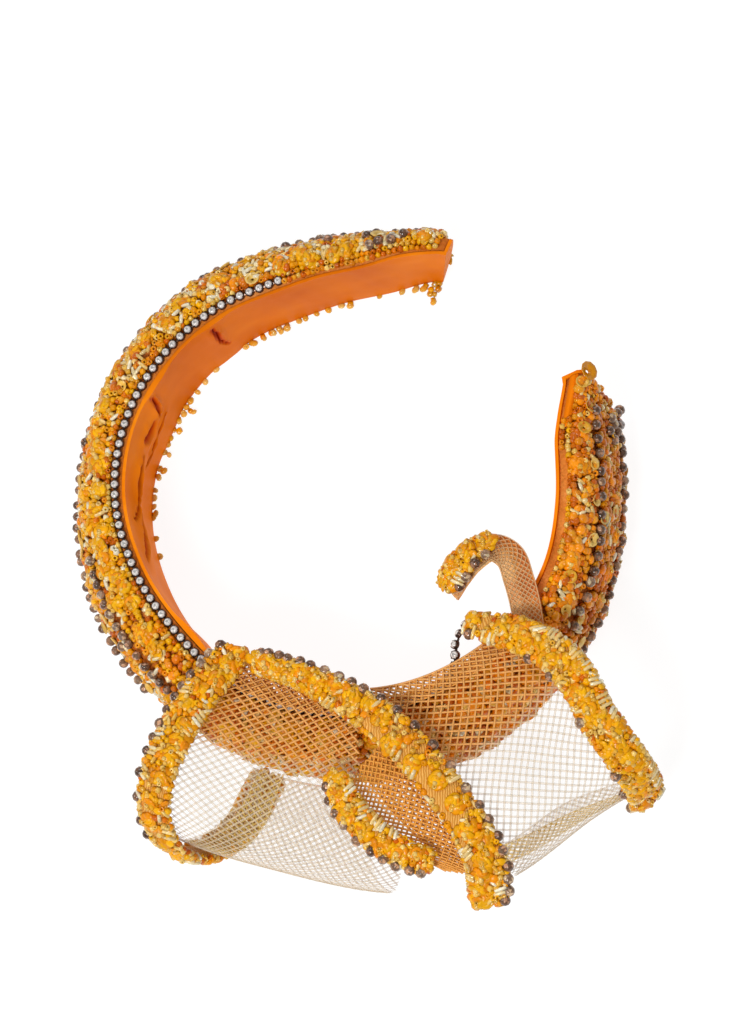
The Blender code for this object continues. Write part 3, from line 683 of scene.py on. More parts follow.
def cut_crystal():
    """A round bead of flat facets, each painted a little lighter or darker than the next as glints and
    shade.
    """
    sides = FACET_SIDES
    rings = (
        (0.17, 0.47, 0.0), (0.41, 0.29, 0.5), (0.5, 0.0, 0.0), (0.41, -0.29, 0.5), (0.17, -0.47, 0.0),
    )
    points = circles(rings, sides)
    faces, tones = [], []
    draw = random.Random(5)
    for level in range(len(rings) - 1):
        lean = level % 2
        for side in range(sides):
            after = (side + 1) % sides
            low, high = level * sides, (level + 1) * sides
            if lean:
                faces.append((low + side, high + after, low + after))
                faces.append((low + side, high + side, high + after))
            else:
                faces.append((low + side, high + side, low + after))
                faces.append((low + after, high + side, high + after))
            tones += [draw.choice(PAINTED_FACET_SHADING), draw.choice(PAINTED_FACET_SHADING)]
    faces.append(tuple(range(sides)))
    faces.append(tuple(range(5 * sides - 1, 4 * sides - 1, -1)))
    tones += [0.5, 0.5]
    return np.array(points), faces, np.array(tones)


def cut_stone():
    """A round cut stone: a table, two rings of facets and a flat back, with painted glints and shade on
    its facets and a darker table as painted reflection.
    """
    sides = FACET_SIDES
    points = circles(((0.17, 1.0, 0.0), (0.37, 0.66, 0.5), (0.5, 0.0, 0.0)), sides)
    # Painted reflection: the table is darker, and each facet is painted lighter or darker as glints and
    # shade.
    faces, tones = [tuple(range(sides))], [0.42]
    draw = random.Random(3)
    for side in range(sides):
        after = (side + 1) % sides
        table, middle, rim = 0, sides, 2 * sides
        faces.append((table + side, middle + side, table + after))
        faces.append((middle + side, middle + after, table + after))
        faces.append((rim + side, rim + after, middle + side))
        faces.append((middle + side, rim + after, middle + after))
        tones += [draw.choice((0.45, 0.8, 1.0)), draw.uniform(0.8, 1.0), 1.0, draw.uniform(0.7, 1.0)]
    faces.append(tuple(range(3 * sides - 1, 2 * sides - 1, -1)))
    tones.append(0.5)
    return np.array(points), faces, np.array(tones)


def heap(name, form, places, finish, smooth=True, sharp=None):
    """One mesh of many copies of a form. A place is a centre, the directions of the form's third
    and first axes, its three sizes and its tint."""
    points, faces, tones = form
    loops = np.array([corner for face in faces for corner in face])
    totals = np.array([len(face) for face in faces])
    shades = np.repeat(tones, totals)
    centres = np.array([tuple(place[0]) for place in places])
    third = np.array([tuple(place[1]) for place in places])
    third /= np.linalg.norm(third, axis=1)[:, None]
    first = np.array([tuple(place[2]) for place in places])
    first -= third * np.sum(first * third, axis=1)[:, None]
    first /= np.linalg.norm(first, axis=1)[:, None]
    second = np.cross(third, first)
    sizes = np.array([place[3] for place in places])
    tints = np.array([place[4] for place in places])
    spots = (
        centres[:, None, :]
        + points[None, :, 0, None] * sizes[:, None, 0, None] * first[:, None, :]
        + points[None, :, 1, None] * sizes[:, None, 1, None] * second[:, None, :]
        + points[None, :, 2, None] * sizes[:, None, 2, None] * third[:, None, :]
    )
    corners = loops[None, :] + (np.arange(len(places)) * len(points))[:, None]
    colours = np.clip(tints[:, None, :] * shades[None, :, None], 0.0, 1.0)
    return make_mesh(
        name,
        spots.reshape(-1, 3),
        corners.ravel(),
        np.tile(totals, len(places)),
        finish,
        colours.reshape(-1, 3),
        smooth,
        sharp,
    )


def over_band(spots, margin):
    """How far places lie over the band in plan: 1 inside its outer edge and 0 past a margin."""
    angles = np.arange(-156.0, 161.0, 2.0)
    outer = [band_outer(angle) for angle in angles]
    edge = np.interp(np.degrees(np.arctan2(spots[:, 0], spots[:, 1])), angles, outer)
    gone = edge - np.hypot(spots[:, 0], spots[:, 1])
    return np.clip((gone + margin) / 5.0, 0.0, 1.0)


def strand_mesh(name, runs, finish, width, margin):
    """Flat threads along runs of points and normals, as one mesh. Over the band, up to a margin past
    its edge, their tint's green rises from 0 to 1, the mask for painting the band's orange bounce light
    into the threads."""
    ends = np.cumsum([0] + [len(run[0]) for run in runs])
    covered = over_band(np.concatenate([run[0] for run in runs]), margin)
    points, loops, tints = [], [], []
    for (spots, normals, tone), base in zip(runs, ends):
        count = len(spots)
        over = covered[base:base + count]
        ahead = np.gradient(spots, axis=0)
        ahead /= np.linalg.norm(ahead, axis=1)[:, None]
        side = np.cross(normals, ahead)
        side /= np.linalg.norm(side, axis=1)[:, None]
        rise = np.cross(ahead, side)
        side *= width / 2
        rise *= STRAND_HEIGHT / 2
        ring = np.stack((spots + side, spots + rise, spots - side, spots - rise), axis=1)
        points.append(ring.reshape(-1, 3))
        starts = 4 * (base + np.arange(count - 1))
        for corner in range(4):
            after = (corner + 1) % 4
            faces = np.stack((starts + corner, starts + after, starts + 4 + after, starts + 4 + corner))
            loops.append(faces.T.reshape(-1))
            shade = np.repeat(over[:-1], 4)
            tints.append(np.stack((np.full(len(shade), tone), shade, shade), axis=1))
    loops = np.concatenate(loops)
    totals = np.full(len(loops) // 4, 4)
    return make_mesh(name, np.concatenate(points), loops, totals, finish, np.concatenate(tints))


# Materials


def shader_tree(name):
    """A new material with its node tree and its Principled shader."""
    made = bpy.data.materials.new(name)
    made.use_nodes = True
    tree = made.node_tree
    return made, tree, tree.nodes["Principled BSDF"]


def in_place(tree, made):
    """The value of a texture node, set in object space."""
    place = tree.nodes.new("ShaderNodeTexCoord").outputs["Object"]
    tree.links.new(place, made.inputs["Vector"])
    return made.outputs["Fac"]


def noise(tree, scale, detail):
    """The value of a noise texture."""
    made = tree.nodes.new("ShaderNodeTexNoise")
    made.inputs["Scale"].default_value = scale
    made.inputs["Detail"].default_value = detail
    return in_place(tree, made)


def wave(tree, direction, scale, distortion, detail):
    """The value of a texture of wavy bands."""
    made = tree.nodes.new("ShaderNodeTexWave")
    made.bands_direction = direction
    made.inputs["Scale"].default_value = scale
    made.inputs["Distortion"].default_value = distortion
    made.inputs["Detail"].default_value = detail
    return in_place(tree, made)


def ramp(tree, source, stops):
    """The colours of a ramp over a value, from pairs of place and colour."""
    made = tree.nodes.new("ShaderNodeValToRGB")
    tree.links.new(source, made.inputs["Fac"])
    for _ in range(len(stops) - 2):
        made.color_ramp.elements.new(0.5)
    for element, (place, colour) in zip(made.color_ramp.elements, stops):
        element.position = place
        element.color = (*colour, 1.0)
    return made.outputs["Color"]


def multiplied(tree, first, second):
    """The product of two colours."""
    made = tree.nodes.new("ShaderNodeMix")
    made.data_type = "RGBA"
    made.blend_type = "MULTIPLY"
    made.inputs["Factor"].default_value = 1.0
    tree.links.new(first, made.inputs["A"])
    tree.links.new(second, made.inputs["B"])
    return made.outputs["Result"]


def paint(tree, shader, colour, roughness, shine):
    """Gives a shader its colour, roughness and specular level."""
    tree.links.new(colour, shader.inputs["Base Color"])
    shader.inputs["Roughness"].default_value = roughness
    shader.inputs["Specular IOR Level"].default_value = shine


def bump(tree, shader, source, strength, distance):
    """A bump on a shader from a height source."""
    made = tree.nodes.new("ShaderNodeBump")
    made.inputs["Strength"].default_value = strength
    made.inputs["Distance"].default_value = distance
    tree.links.new(source, made.inputs["Height"])
    tree.links.new(made.outputs["Normal"], shader.inputs["Normal"])


def tint_source(tree):
    """The tint that a mesh carries."""
    made = tree.nodes.new("ShaderNodeAttribute")
    made.attribute_name = "tint"
    return made.outputs["Color"]


def bead_finish(name, roughness, coat, transmission, shine, mottle):
    """Glass or plastic beads, coloured by the mesh's tint with a fine mottle."""
    made, tree, shader = shader_tree(name)
    darker = (1.0 - mottle, 1.0 - 1.3 * mottle, 1.0 - 1.6 * mottle)
    tone = ramp(tree, noise(tree, 900.0, 2.0), ((0.3, darker), (0.7, WHITE)))
    paint(tree, shader, multiplied(tree, tint_source(tree), tone), roughness, shine)
    shader.inputs["Coat Weight"].default_value = coat
    shader.inputs["Coat Roughness"].default_value = 0.05
    shader.inputs["Transmission Weight"].default_value = transmission
    shader.inputs["IOR"].default_value = 1.5
    return made


def pad_finish():
    """Orange-brown cloth with a fine crossed weave and worn, uneven dye."""
    made, tree, shader = shader_tree("pad_cloth")
    base_colour = ramp(tree, noise(tree, 90.0, 4.0), (
        (0.25, linear(198, 104, 30)),
        (0.5, linear(222, 130, 52)),
        (0.75, linear(238, 156, 84)),
    ))
    threads = noise(tree, 1500.0, 2.0)
    fine = ramp(tree, threads, ((0.35, (0.8, 0.72, 0.6)), (0.65, WHITE)))
    paint(tree, shader, multiplied(tree, base_colour, fine), 0.75, 0.1)
    bump(tree, shader, threads, 0.6, 0.0004)
    return made


def satin_finish():
    """Orange satin: a smooth sheen and a fine weave, with painted shade deep in its folds and a lighter
    colour where its tint runs high, for the paler tip and for painted light.
    """
    made, tree, shader = shader_tree("orange_satin")
    base_colour = ramp(tree, noise(tree, 55.0, 3.0), (
        (0.3, linear(207, 102, 2)),
        (0.55, linear(216, 112, 8)),
        (0.8, linear(224, 124, 17)),
    ))
    # Painted shade and light: a low tint darkens the satin to deep red in its creases, and a tint above
    # 0.75 makes it lighter.
    painted_shading = ramp(tree, tint_source(tree), (
        (0.0, (0.36, 0.03, 0.0)),
        (0.45, (0.80, 0.42, 0.2)),
        (0.75, WHITE),
        (1.0, (1.3, 1.45, 1.5)),
    ))
    paint(tree, shader, multiplied(tree, base_colour, painted_shading), 0.5, 0.03)
    bump(tree, shader, wave(tree, "Z", 900.0, 1.5, 2.0), 0.08, 0.0002)
    return made


def net_finish(name, colours, shares):
    """Stiff sheer thread, whose colour and density rise from the first to the second over the band: the
    denser, orange thread there is painted bounce light from the band under it. The rest of the light
    goes straight through it."""
    made, tree, shader = shader_tree(name)
    parts = tree.nodes.new("ShaderNodeSeparateColor")
    tree.links.new(tint_source(tree), parts.inputs["Color"])
    over_band = parts.outputs["Green"]
    # Painted bounce light: over the band the thread takes the band's orange.
    base_colour = ramp(tree, over_band, ((0.0, colours[0]), (1.0, colours[1])))
    tone = ramp(tree, noise(tree, 400.0, 3.0), ((0.3, (0.84, 0.82, 0.78)), (0.7, WHITE)))
    paint(tree, shader, multiplied(tree, base_colour, tone), 0.4, 0.25)
    dense = ramp(tree, over_band, ((0.0, (shares[0],) * 3), (1.0, (shares[1],) * 3)))
    tree.links.new(dense, shader.inputs["Alpha"])
    return made


def hem_finish():
    """The net's dense folded hem, whose crossed threads show as fine ribs."""
    made, tree, shader = shader_tree("net_hem")
    threads = wave(tree, "DIAGONAL", 620.0, 3.0, 1.0)
    base_colour = ramp(tree, threads, (
        (0.1, linear(206, 136, 46)),
        (0.5, linear(222, 156, 66)),
        (0.9, linear(234, 178, 92)),
    ))
    paint(tree, shader, base_colour, 0.5, 0.2)
    bump(tree, shader, threads, 0.7, 0.0004)
    return made


def tail_finish():
    """Net folded several times over: cream inside its bend and orange-gold along its outer edge."""
    made, tree, shader = shader_tree("folded_net")
    threads = noise(tree, 1300.0, 2.0)
    side = ramp(tree, tint_source(tree), (
        (0.0, linear(226, 130, 30)),
        (0.35, linear(236, 158, 74)),
        (1.0, linear(251, 208, 144)),
    ))
    worn = ramp(tree, noise(tree, 160.0, 3.0), ((0.35, linear(226, 190, 160)), (0.6, WHITE)))
    fine = ramp(tree, threads, ((0.35, (0.7, 0.64, 0.55)), (0.6, WHITE)))
    paint(tree, shader, multiplied(tree, multiplied(tree, side, worn), fine), 0.5, 0.2)
    bump(tree, shader, threads, 0.6, 0.0004)
    return made


def metal_finish():
    """Dark gunmetal of the cups, in a fine grain of lighter and darker metal."""
    made, tree, shader = shader_tree("gunmetal")
    stops = ((0.35, linear(60, 44, 38)), (0.65, linear(116, 94, 82)))
    paint(tree, shader, ramp(tree, noise(tree, 1400.0, 2.0), stops), 0.3, 0.5)
    shader.inputs["Metallic"].default_value = 0.85
    return made


def floor_finish():
    """A plain pale floor."""
    made, tree, shader = shader_tree("floor")
    stops = ((0.3, (0.14, 0.14, 0.14)), (0.7, (0.16, 0.16, 0.16)))
    paint(tree, shader, ramp(tree, noise(tree, 6.0, 2.0), stops), 0.9, 0.5)
    shader.inputs["Emission Color"].default_value = (*WHITE, 1.0)
    shader.inputs["Emission Strength"].default_value = 0.9
    return made


# Colours of the beads: red, green and blue of 0 to 255
AMBER = ((246, 172, 0), (250, 184, 8), (238, 156, 0), (248, 178, 2), (242, 148, 0))
HONEY = ((226, 120, 0), (236, 142, 8), (214, 104, 0), (240, 160, 30))
CREAM = ((255, 236, 184), (253, 222, 150), (255, 246, 214), (250, 210, 124))
GOLD = ((246, 196, 84), (238, 178, 50), (250, 210, 112))
TOPAZ = ((255, 150, 0), (255, 162, 6), (248, 132, 0), (255, 154, 12))
SMOKE = ((184, 142, 110), (160, 120, 92), (206, 168, 136), (138, 102, 78))


def pick(colours):
    """One of a few colours, a little lighter or darker."""
    tone = chance.uniform(0.76, 0.98)
    return tuple(min(part * tone, 1.0) for part in linear(*chance.choice(colours)))


def slanted(facing, lean):
    """A direction near a facing one, leaned by a random amount, and one square to it."""
    other = Vector((chance.gauss(0, 1), chance.gauss(0, 1), chance.gauss(0, 1)))
    flat = (other - facing * other.dot(facing)).normalized()
    axis = (facing * cos(lean) + flat * sin(lean)).normalized()
    return axis, facing.cross(flat)


class Beads:
    """Places of beads by kind, gathered over a region before each kind becomes one mesh."""

    def __init__(self):
        kinds = ("cream", "honey", "amber", "bugle", "cup", "crystal", "petal", "pebble")
        self.kinds = {kind: [] for kind in kinds}

    def seed(self, kind, centre, facing, colours, width=SEED_WIDTH):
        """A seed bead of cream, honey or amber glass, sewn at a random lean."""
        axis, flat = slanted(facing, chance.uniform(0.4, 1.5))
        wide = width * chance.uniform(0.85, 1.1)
        size = (wide, wide, wide * chance.uniform(0.95, 1.25))
        self.kinds[kind].append((centre, axis, flat, size, pick(colours)))

    def bugle(self, centre, facing, direction, colours, length=BUGLE_LENGTH):
        """A bugle bead, sewn flat."""
        size = (1.5, 1.3, length * chance.uniform(0.8, 1.15))
        self.kinds["bugle"].append((centre, direction, facing, size, pick(colours)))

    def cup(self, centre, facing, colours, width=4.2):
        """A cup sequin with its bowl outwards."""
        axis, flat = slanted(facing, chance.uniform(0.0, 0.35))
        wide = width * chance.uniform(0.85, 1.1)
        self.kinds["cup"].append((centre, axis, flat, (wide, wide, wide), pick(colours)))

    def crystal(self, centre, facing, width=STRING_WIDTH):
        """A faceted round bead, strung in any turn."""
        axis, flat = slanted(facing, chance.uniform(0.6, 1.5))
        wide = width * chance.uniform(0.94, 1.04)
        self.kinds["crystal"].append((centre, axis, flat, (wide, wide, wide), pick(SMOKE)))

    def petal(self, centre, facing, colours, width=PETAL_WIDTH):
        """A flat oval bead that lies over its neighbours in a clump."""
        axis, flat = slanted(facing, chance.uniform(0.05, 0.6))
        wide = width * chance.uniform(0.85, 1.12)
        size = (wide, wide * chance.uniform(0.6, 0.9), wide * 0.28)
        self.kinds["petal"].append((centre, axis, flat, size, pick(colours)))

    def pebble(self, centre, facing, colours, width=3.3):
        """A smooth oval bead."""
        axis, flat = slanted(facing, chance.uniform(0.0, 0.5))
        wide = width * chance.uniform(0.8, 1.15)
        size = (wide, wide * chance.uniform(0.7, 0.95), wide * 0.62)
        self.kinds["pebble"].append((centre, axis, flat, size, pick(colours)))

    def clump(self, centre, facing, reach, tall, colours=AMBER):
        """A mound of overlapping petals, with a few small beads between them."""
        first = facing.orthogonal().normalized()
        second = facing.cross(first)
        count = round(5.0 * reach)
        for index in range(count):
            share = ((index + 0.3) / count) ** 0.5
            turn = index * GOLDEN_TURN + chance.uniform(-0.25, 0.25)
            out = first * cos(turn) + second * sin(turn)
            rise = tall * (1.0 - 0.85 * share**2) * chance.uniform(0.85, 1.0)
            spot = centre + out * reach * share * 0.8 + facing * rise
            facing_out = (facing + out * share * 0.7).normalized()
            if index % 4 == 3:
                self.seed("cream", spot + facing * 0.5, facing_out, GOLD, 1.7)
            else:
                self.petal(spot, facing_out, colours)

    def build(self, prefix, finishes, nodes):
        """One mesh for each kind that has places."""
        forms = {
            "bugle": turned(BUGLE_PROFILE, 6, PAINTED_BUGLE_STREAKS),
            "cup": turned(SEQUIN_PROFILE, 10),
            "crystal": cut_crystal(),
        }
        forms.update({kind: turned(SEED_PROFILE, 6) for kind in ("cream", "honey", "amber")})
        forms.update({kind: oval() for kind in ("petal", "pebble")})
        for kind, places in self.kinds.items():
            if not places:
                continue
            for centre, _, _, size, _ in places:
                centre.z = max(centre.z, max(size) / 2)
            smooth = kind != "crystal"
            piece = heap(f"{prefix}_{kind}s", forms[kind], places, finishes[kind], smooth)
            slot = "smoke_crystal" if kind == "crystal" else "amber_beads"
            settle(piece, slot, *nodes)


# The band


def build_pad_cloth(finish):
    """The cloth over the padding, quilted a little by the stitches that hold the beads."""
    stations, rows = 150, 26
    rings = []
    for station in range(stations):
        along = station / (stations - 1)
        ring = []
        for up in (1.0, 0.75, 0.5, 0.25, 0.0):
            angle = band_angle(along, up)
            ring.append(at(angle, lining_radius(angle, up) + PAD_INNER, PAD_LOW + PAD_WIDTH * up))
        for row in range(rows + 1):
            share = row / rows
            dent = 0.18 * sin(station * 1.9 + row) * sin(row * 2.1 - station * 0.7)
            off = (dent - 0.1) if 0 < row < rows and 0 < station < stations - 1 else -0.05
            ring.append(on_dome(along, share, off)[0])
        rings.append(ring)
    piece = tube_mesh("pad_cloth", rings, finish)
    settle(piece, "pad_cloth", "pad")


def fold_depth(angle, up):
    """How far the lining stands in from its smooth face, from its pleats and its long fold."""
    depth = 0.0
    for middle, lean, half, tall in PLEATS:
        offset = (angle - middle - lean * (up - 0.5)) / half
        depth += LINING_WALL * tall * 0.6 / (1.0 + offset**4)
    first, last, level, half, tall = LONG_FOLD
    middle, reach = (first + last) / 2, (last - first) / 2
    across = (up - level) / half
    depth += LINING_WALL * tall / (1.0 + across**4) / (1.0 + ((angle - middle) / reach) ** 6)
    return depth


def crease(angle, up):
    """How far in the lining's creases push a place, and how deep in a crease it lies from 0 to 1, which
    is painted into the satin as shade.
    """
    lift, depth = 0.0, 0.0
    here = np.array((angle * radians(HEAD_RADIUS), up * PAD_WIDTH))
    for line in CREASES:
        if not min(row[0] for row in line) - 5.0 < angle < max(row[0] for row in line) + 5.0:
            continue
        best = None
        for start, end in zip(line, line[1:]):
            first = np.array((start[0] * radians(HEAD_RADIUS), start[1] * PAD_WIDTH))
            run = np.array((end[0] * radians(HEAD_RADIUS), end[1] * PAD_WIDTH)) - first
            part = min(max(np.dot(here - first, run) / np.dot(run, run), 0.0), 1.0)
            gap = here - first - run * part
            far = np.linalg.norm(gap)
            if best is None or far < best[0]:
                half = start[2] + (end[2] - start[2]) * part
                lip = start[3] + (end[3] - start[3]) * part
                best = (far, half, lip)
        far, half, lip = best
        inside = 1.0 / (1.0 + (far / half) ** 4)
        lift += lip / (1.0 + ((far - 1.9 * half) / (1.3 * half)) ** 2) * (1.0 - inside)
        lift -= inside * LINING_WALL * 0.75
        depth = max(depth, inside)
    return lift, depth


def soft_folds(angle, up):
    """The lining's small loose waves, in millimetres."""
    wave = sin(angle * 0.21 + up * 2.0) * 0.25 + sin(angle * 0.53 - up * 3.1) * 0.12
    return wave + sin(angle * 1.3 + up * 5.0) * 0.05


def build_lining(finish):
    """The satin lining, with its pleats and folds, folded over both of the band's ends."""
    stations, levels = 420, 38
    low, high = PAD_LOW - LINING_INSET, PAD_HIGH + LINING_WALL * 0.4
    face, back, shade = [], [], []
    for station in range(-1, stations + 1):
        along = min(max(station / (stations - 1), 0.0), 1.0)
        over_end = station in (-1, stations)
        face_row, back_row, shade_row = [], [], []
        for level in range(levels):
            up = level / (levels - 1)
            angle = band_angle(along, up)
            radius = lining_radius(angle, up)
            height = low + (high - low) * up
            behind = angle + end_turn(along, radius, CLEARANCE)
            ahead = angle + end_turn(along, radius, CLEARANCE + LINING_WALL)
            if over_end:
                spread = PAD_INNER + dome_point(share_at(up), dome_height(angle))[0]
                face_row.append(at(ahead, radius + spread, height))
                back_row.append(at(behind, radius + spread, height))
                shade_row.append(0.95)
            else:
                edge = min(min(up, 1.0 - up) * 8.0, 1.0)
                lift, painted_shading = crease(angle, up)
                pushed = fold_depth(angle, up) + (soft_folds(angle, up) + lift) * edge
                face_row.append(at(ahead, radius - pushed, height))
                back_row.append(at(behind, radius + LINING_WALL, height))
                # Painted light: the stretch below 84 degrees is lighter where the light falls on it,
                # and the end past 140 degrees is paler. Painted shade darkens each crease by how deep
                # in it a place lies.
                paler_tip_and_painted_light = 0.08 * min(max((angle - 140.0) / 8.0, 0.0), 1.0)
                paler_tip_and_painted_light += 0.24 * min(max((84.0 - angle) / 30.0, 0.0), 1.0)
                shade_row.append(0.74 + paler_tip_and_painted_light + 0.03 * sin(angle * 0.23 + up * 4.0) - 0.74 * painted_shading)
        face.append(face_row)
        back.append(back_row)
        shade.append(shade_row)
    piece = wall_mesh("satin_lining", face, back, finish, shade)
    settle(piece, "orange_satin", "lining")


def build_turnover(finish):
    """The end of the lining that is turned over the pad's near shoulder at the right tip."""
    front, back = [], []
    for station in range(25):
        share = station / 24
        along = share * 0.036
        front_row, back_row = [], []
        for column in range(9):
            part = column / 8
            out = 0.9 + (PAD_SHOULDER - 0.9) * part * (1.0 - 0.25 * share**3)
            swell = 0.35 * sin(pi * part) + 0.12 * sin(9.0 * share + 5.0 * part)
            front_row.append(on_shoulder(along, out, CLEARANCE + 0.55 + swell))
            back_row.append(on_shoulder(along, out, CLEARANCE))
        front.append(front_row)
        back.append(back_row)
    # Painted light along the middle of the turned-over piece, where it swells, and painted shade
    # towards both its edges.
    shade = [[0.95 - 0.25 * abs(column / 4 - 1) for column in range(9)] for _ in front]
    piece = wall_mesh("lining_turnover", front, back, finish, shade)
    settle(piece, "orange_satin", "lining")


def build_chain(metal, glass):
    """The cups, their claws and the links between them, and the cut stones in them."""
    cups, claws, links, stones = [], [], [], []
    frames = chain_frames()
    for index, (centre, forward, side, up) in enumerate(frames):
        cups.append((centre, up, forward, (CUP_WIDTH, CUP_WIDTH, CUP_HEIGHT), WHITE))
        spin = chance.uniform(0.0, tau)
        turned_to = forward * cos(spin) + side * sin(spin)
        seat = centre + up * CUP_HEIGHT * 0.72
        bright = chance.uniform(0.72, 0.84)
        size = (STONE_WIDTH, STONE_WIDTH, STONE_CROWN + CUP_HEIGHT * 0.25)
        stones.append((seat, up, turned_to, size, (bright, bright * 0.97, bright * 0.94)))
        for corner in range(4):
            turn = pi / 4 + pi / 2 * corner
            out = forward * cos(turn) + side * sin(turn)
            claws.append((centre + out * CUP_WIDTH * 0.45 + up * CUP_HEIGHT * 0.92,
                          (up - out * 0.6).normalized(), side, (0.42, 0.42, 0.75), WHITE))
        if index < len(frames) - 1:
            following = frames[index + 1][0]
            middle = (centre + following) / 2 + up * 0.45
            links.append((middle, (following - centre).normalized(), up,
                          (0.8, 0.8, CHAIN_PITCH - CUP_WIDTH * 0.9), WHITE))
    made = [
        heap("chain_cups", turned(CUP_PROFILE, 14), cups, metal, sharp=40.0),
        heap("chain_claws", turned(CLAW_PROFILE, 5), claws, metal),
        heap("chain_links", turned(LINK_PROFILE, 6), links, metal, sharp=40.0),
        heap("chain_stones", cut_stone(), stones, glass, smooth=False),
    ]
    for piece in made:
        settle(piece, "clear_crystal", "crystal_chain")


def build_strings(finish):
    """The strings of faceted crystal beads on the dome."""
    off = CLEARANCE + THIN_BEADS + CLEARANCE + STRING_WIDTH / 2
    for name, first, last, first_share, last_share in BEAD_STRINGS:
        route = []
        for station in range(401):
            along = station / 400
            part = (band_angle(along, 0.5) - first) / (last - first)
            if 0.0 <= part <= 1.0 and STRING_MARGIN < along < 1.0 - STRING_MARGIN:
                share = first_share + (last_share - first_share) * part
                route.append(on_dome(along, share, off))
        beads = Beads()
        travelled, due = 0.0, CRYSTAL_PITCH / 2
        for (start, _), (end, facing) in zip(route, route[1:]):
            travelled += (end - start).length
            if travelled >= due:
                sunk = 0.7 if name == "ridge_string_left" else 0.0
                wobble = facing * (chance.uniform(-1.1, -0.5) + sunk)
                beads.crystal(end + wobble, facing, STRING_WIDTH * chance.uniform(0.86, 0.98))
                due += CRYSTAL_PITCH * chance.uniform(0.92, 1.12) * (1.0 if first > -20.0 else 1.15)
        beads.build(name, finish, [name])


# Clumps of bright petals on the near side of the band
CLUMPS = (
    # angle, share of the dome, reach
    (154.5, 0.98, 2.6), (139.0, 0.76, 3.0), (136.0, 0.96, 2.8), (135.0, 0.86, 3.2),
    (133.0, 0.98, 2.6), (126.5, 0.97, 3.2), (124.0, 0.90, 3.4), (119.0, 0.96, 3.0),
    (115.0, 0.73, 3.2), (111.5, 0.74, 3.0), (103.5, 0.85, 3.6), (98.0, 0.71, 3.2),
    (93.0, 0.84, 4.0), (88.5, 0.90, 3.6), (83.0, 0.85, 3.4), (79.0, 0.84, 3.2),
    (75.0, 0.73, 3.6), (71.5, 0.71, 3.2), (68.5, 0.76, 4.4), (65.5, 0.84, 3.4),
    (62.5, 0.81, 3.2), (59.0, 0.85, 3.6), (56.0, 0.91, 3.2), (52.0, 0.92, 4.2),
    (46.0, 0.81, 3.2), (46.0, 0.95, 2.6), (41.5, 0.90, 3.0), (38.5, 0.85, 3.2),
    (36.5, 0.95, 2.6), (33.5, 0.90, 3.0), (30.5, 0.92, 3.0), (27.5, 0.88, 3.0),
    (25.0, 0.95, 2.8), (27.5, 0.63, 4.2), (24.0, 0.61, 4.6), (20.0, 0.85, 3.6),
    (17.5, 0.96, 2.8), (21.5, 0.96, 2.6), (9.5, 0.91, 4.0), (5.0, 0.91, 3.2),
    (-104.0, 0.81, 2.6), (-111.5, 0.92, 2.4), (-134.0, 0.93, 2.8),
)

# Single crystal beads off the strings: angle and share of the dome
LOOSE_CRYSTALS = (
    (149.5, 0.94), (147.0, 0.97), (142.0, 0.97), (144.0, 0.96), (142.0, 0.76), (140.5, 0.84),
    (-146.0, 0.44), (-143.5, 0.61), (-150.5, 0.33), (-145.5, 0.53), (-147.0, 0.36), (-144.5, 0.47),
    (-142.0, 0.55), (-149.0, 0.42), (-141.5, 0.38), (-146.5, 0.57), (12.0, 0.70), (-8.0, 0.90),
    (-95.0, 0.78), (57.5, 0.72), (100.5, 0.60), (120.5, 0.72), (128.0, 0.66), (131.0, 0.80),
)

# The large cup sequin on the right tip: share of the dome, how far off it and width
TIP_BEAD = (0.90, 1.0, 5.6)

# Beads that peep out under the lining's far edge: angle and how far in from it, in millimetres
FRINGE = (
    # angle, reach
    (35.3, 0.4), (40.1, 0.4), (45.7, 0.4), (46.9, 1.2), (48.5, 0.4), (50.8, 0.4), (52.8, 0.4),
    (56.1, 1.1), (58.1, 2.3), (62.5, 2.5), (64.9, 1.1), (66.8, 1.1), (69.0, 2.7), (71.5, 1.0),
    (73.8, 1.3), (75.5, 3.8), (77.6, 0.8), (80.5, 0.8), (83.8, 0.6), (88.0, 0.5), (97.6, 0.9),
    (100.1, 1.3), (103.1, 1.5), (106.0, 1.1), (108.1, 1.7), (109.9, 1.5), (113.8, 0.6),
    (115.7, 0.5), (119.0, 0.4), (122.5, 0.5), (126.3, 0.5), (128.7, 1.4), (137.0, 0.3),
    (143.1, 0.6), (146.4, 1.4), (148.6, 1.8), (150.6, 4.0), (152.1, 7.0),
)

# What the embroidery is made of along the band, as shares of its beads, with sequins for the rest
FIELD_MIX = (
    # angle, cream, honey, amber, bugle, pebble
    (-156.0, 0.10, 0.34, 0.18, 0.07, 0.28),
    (-100.0, 0.08, 0.38, 0.20, 0.07, 0.24),
    (-88.0, 0.10, 0.44, 0.24, 0.06, 0.15),
    (-12.0, 0.10, 0.40, 0.34, 0.06, 0.09),
    (3.0, 0.18, 0.24, 0.40, 0.11, 0.05),
    (60.0, 0.22, 0.16, 0.44, 0.12, 0.04),
    (155.0, 0.32, 0.16, 0.30, 0.16, 0.04),
)

SHOULDER_SEEDS = (("cream", GOLD), ("honey", HONEY), ("honey", HONEY), ("amber", AMBER))

# Where the near shoulder is beaded too
BEADED_SHOULDERS = (
    # first angle, last angle, distance of the first row from the inner edge
    (-145.5, -138.0, 1.1), (-138.0, -98.0, 3.1), (119.0, 160.0, 1.1), (-97.0, 119.0, 4.0),
)


def near_string(angle, share, reach):
    """Whether a string of crystal beads covers a place on the dome."""
    for _, first, last, first_share, last_share in BEAD_STRINGS:
        part = (angle - first) / (last - first)
        line = first_share + (last_share - first_share) * part
        if -0.02 < part < 1.02 and abs(share - line) < reach:
            return True
    return False


def on_shoulder(along, out, off):
    """The point above the pad's flat near shoulder, at a distance out from its inner edge."""
    angle = band_angle(along, 1.0)
    return at(angle, lining_radius(angle) + PAD_INNER + out, PAD_HIGH + off)


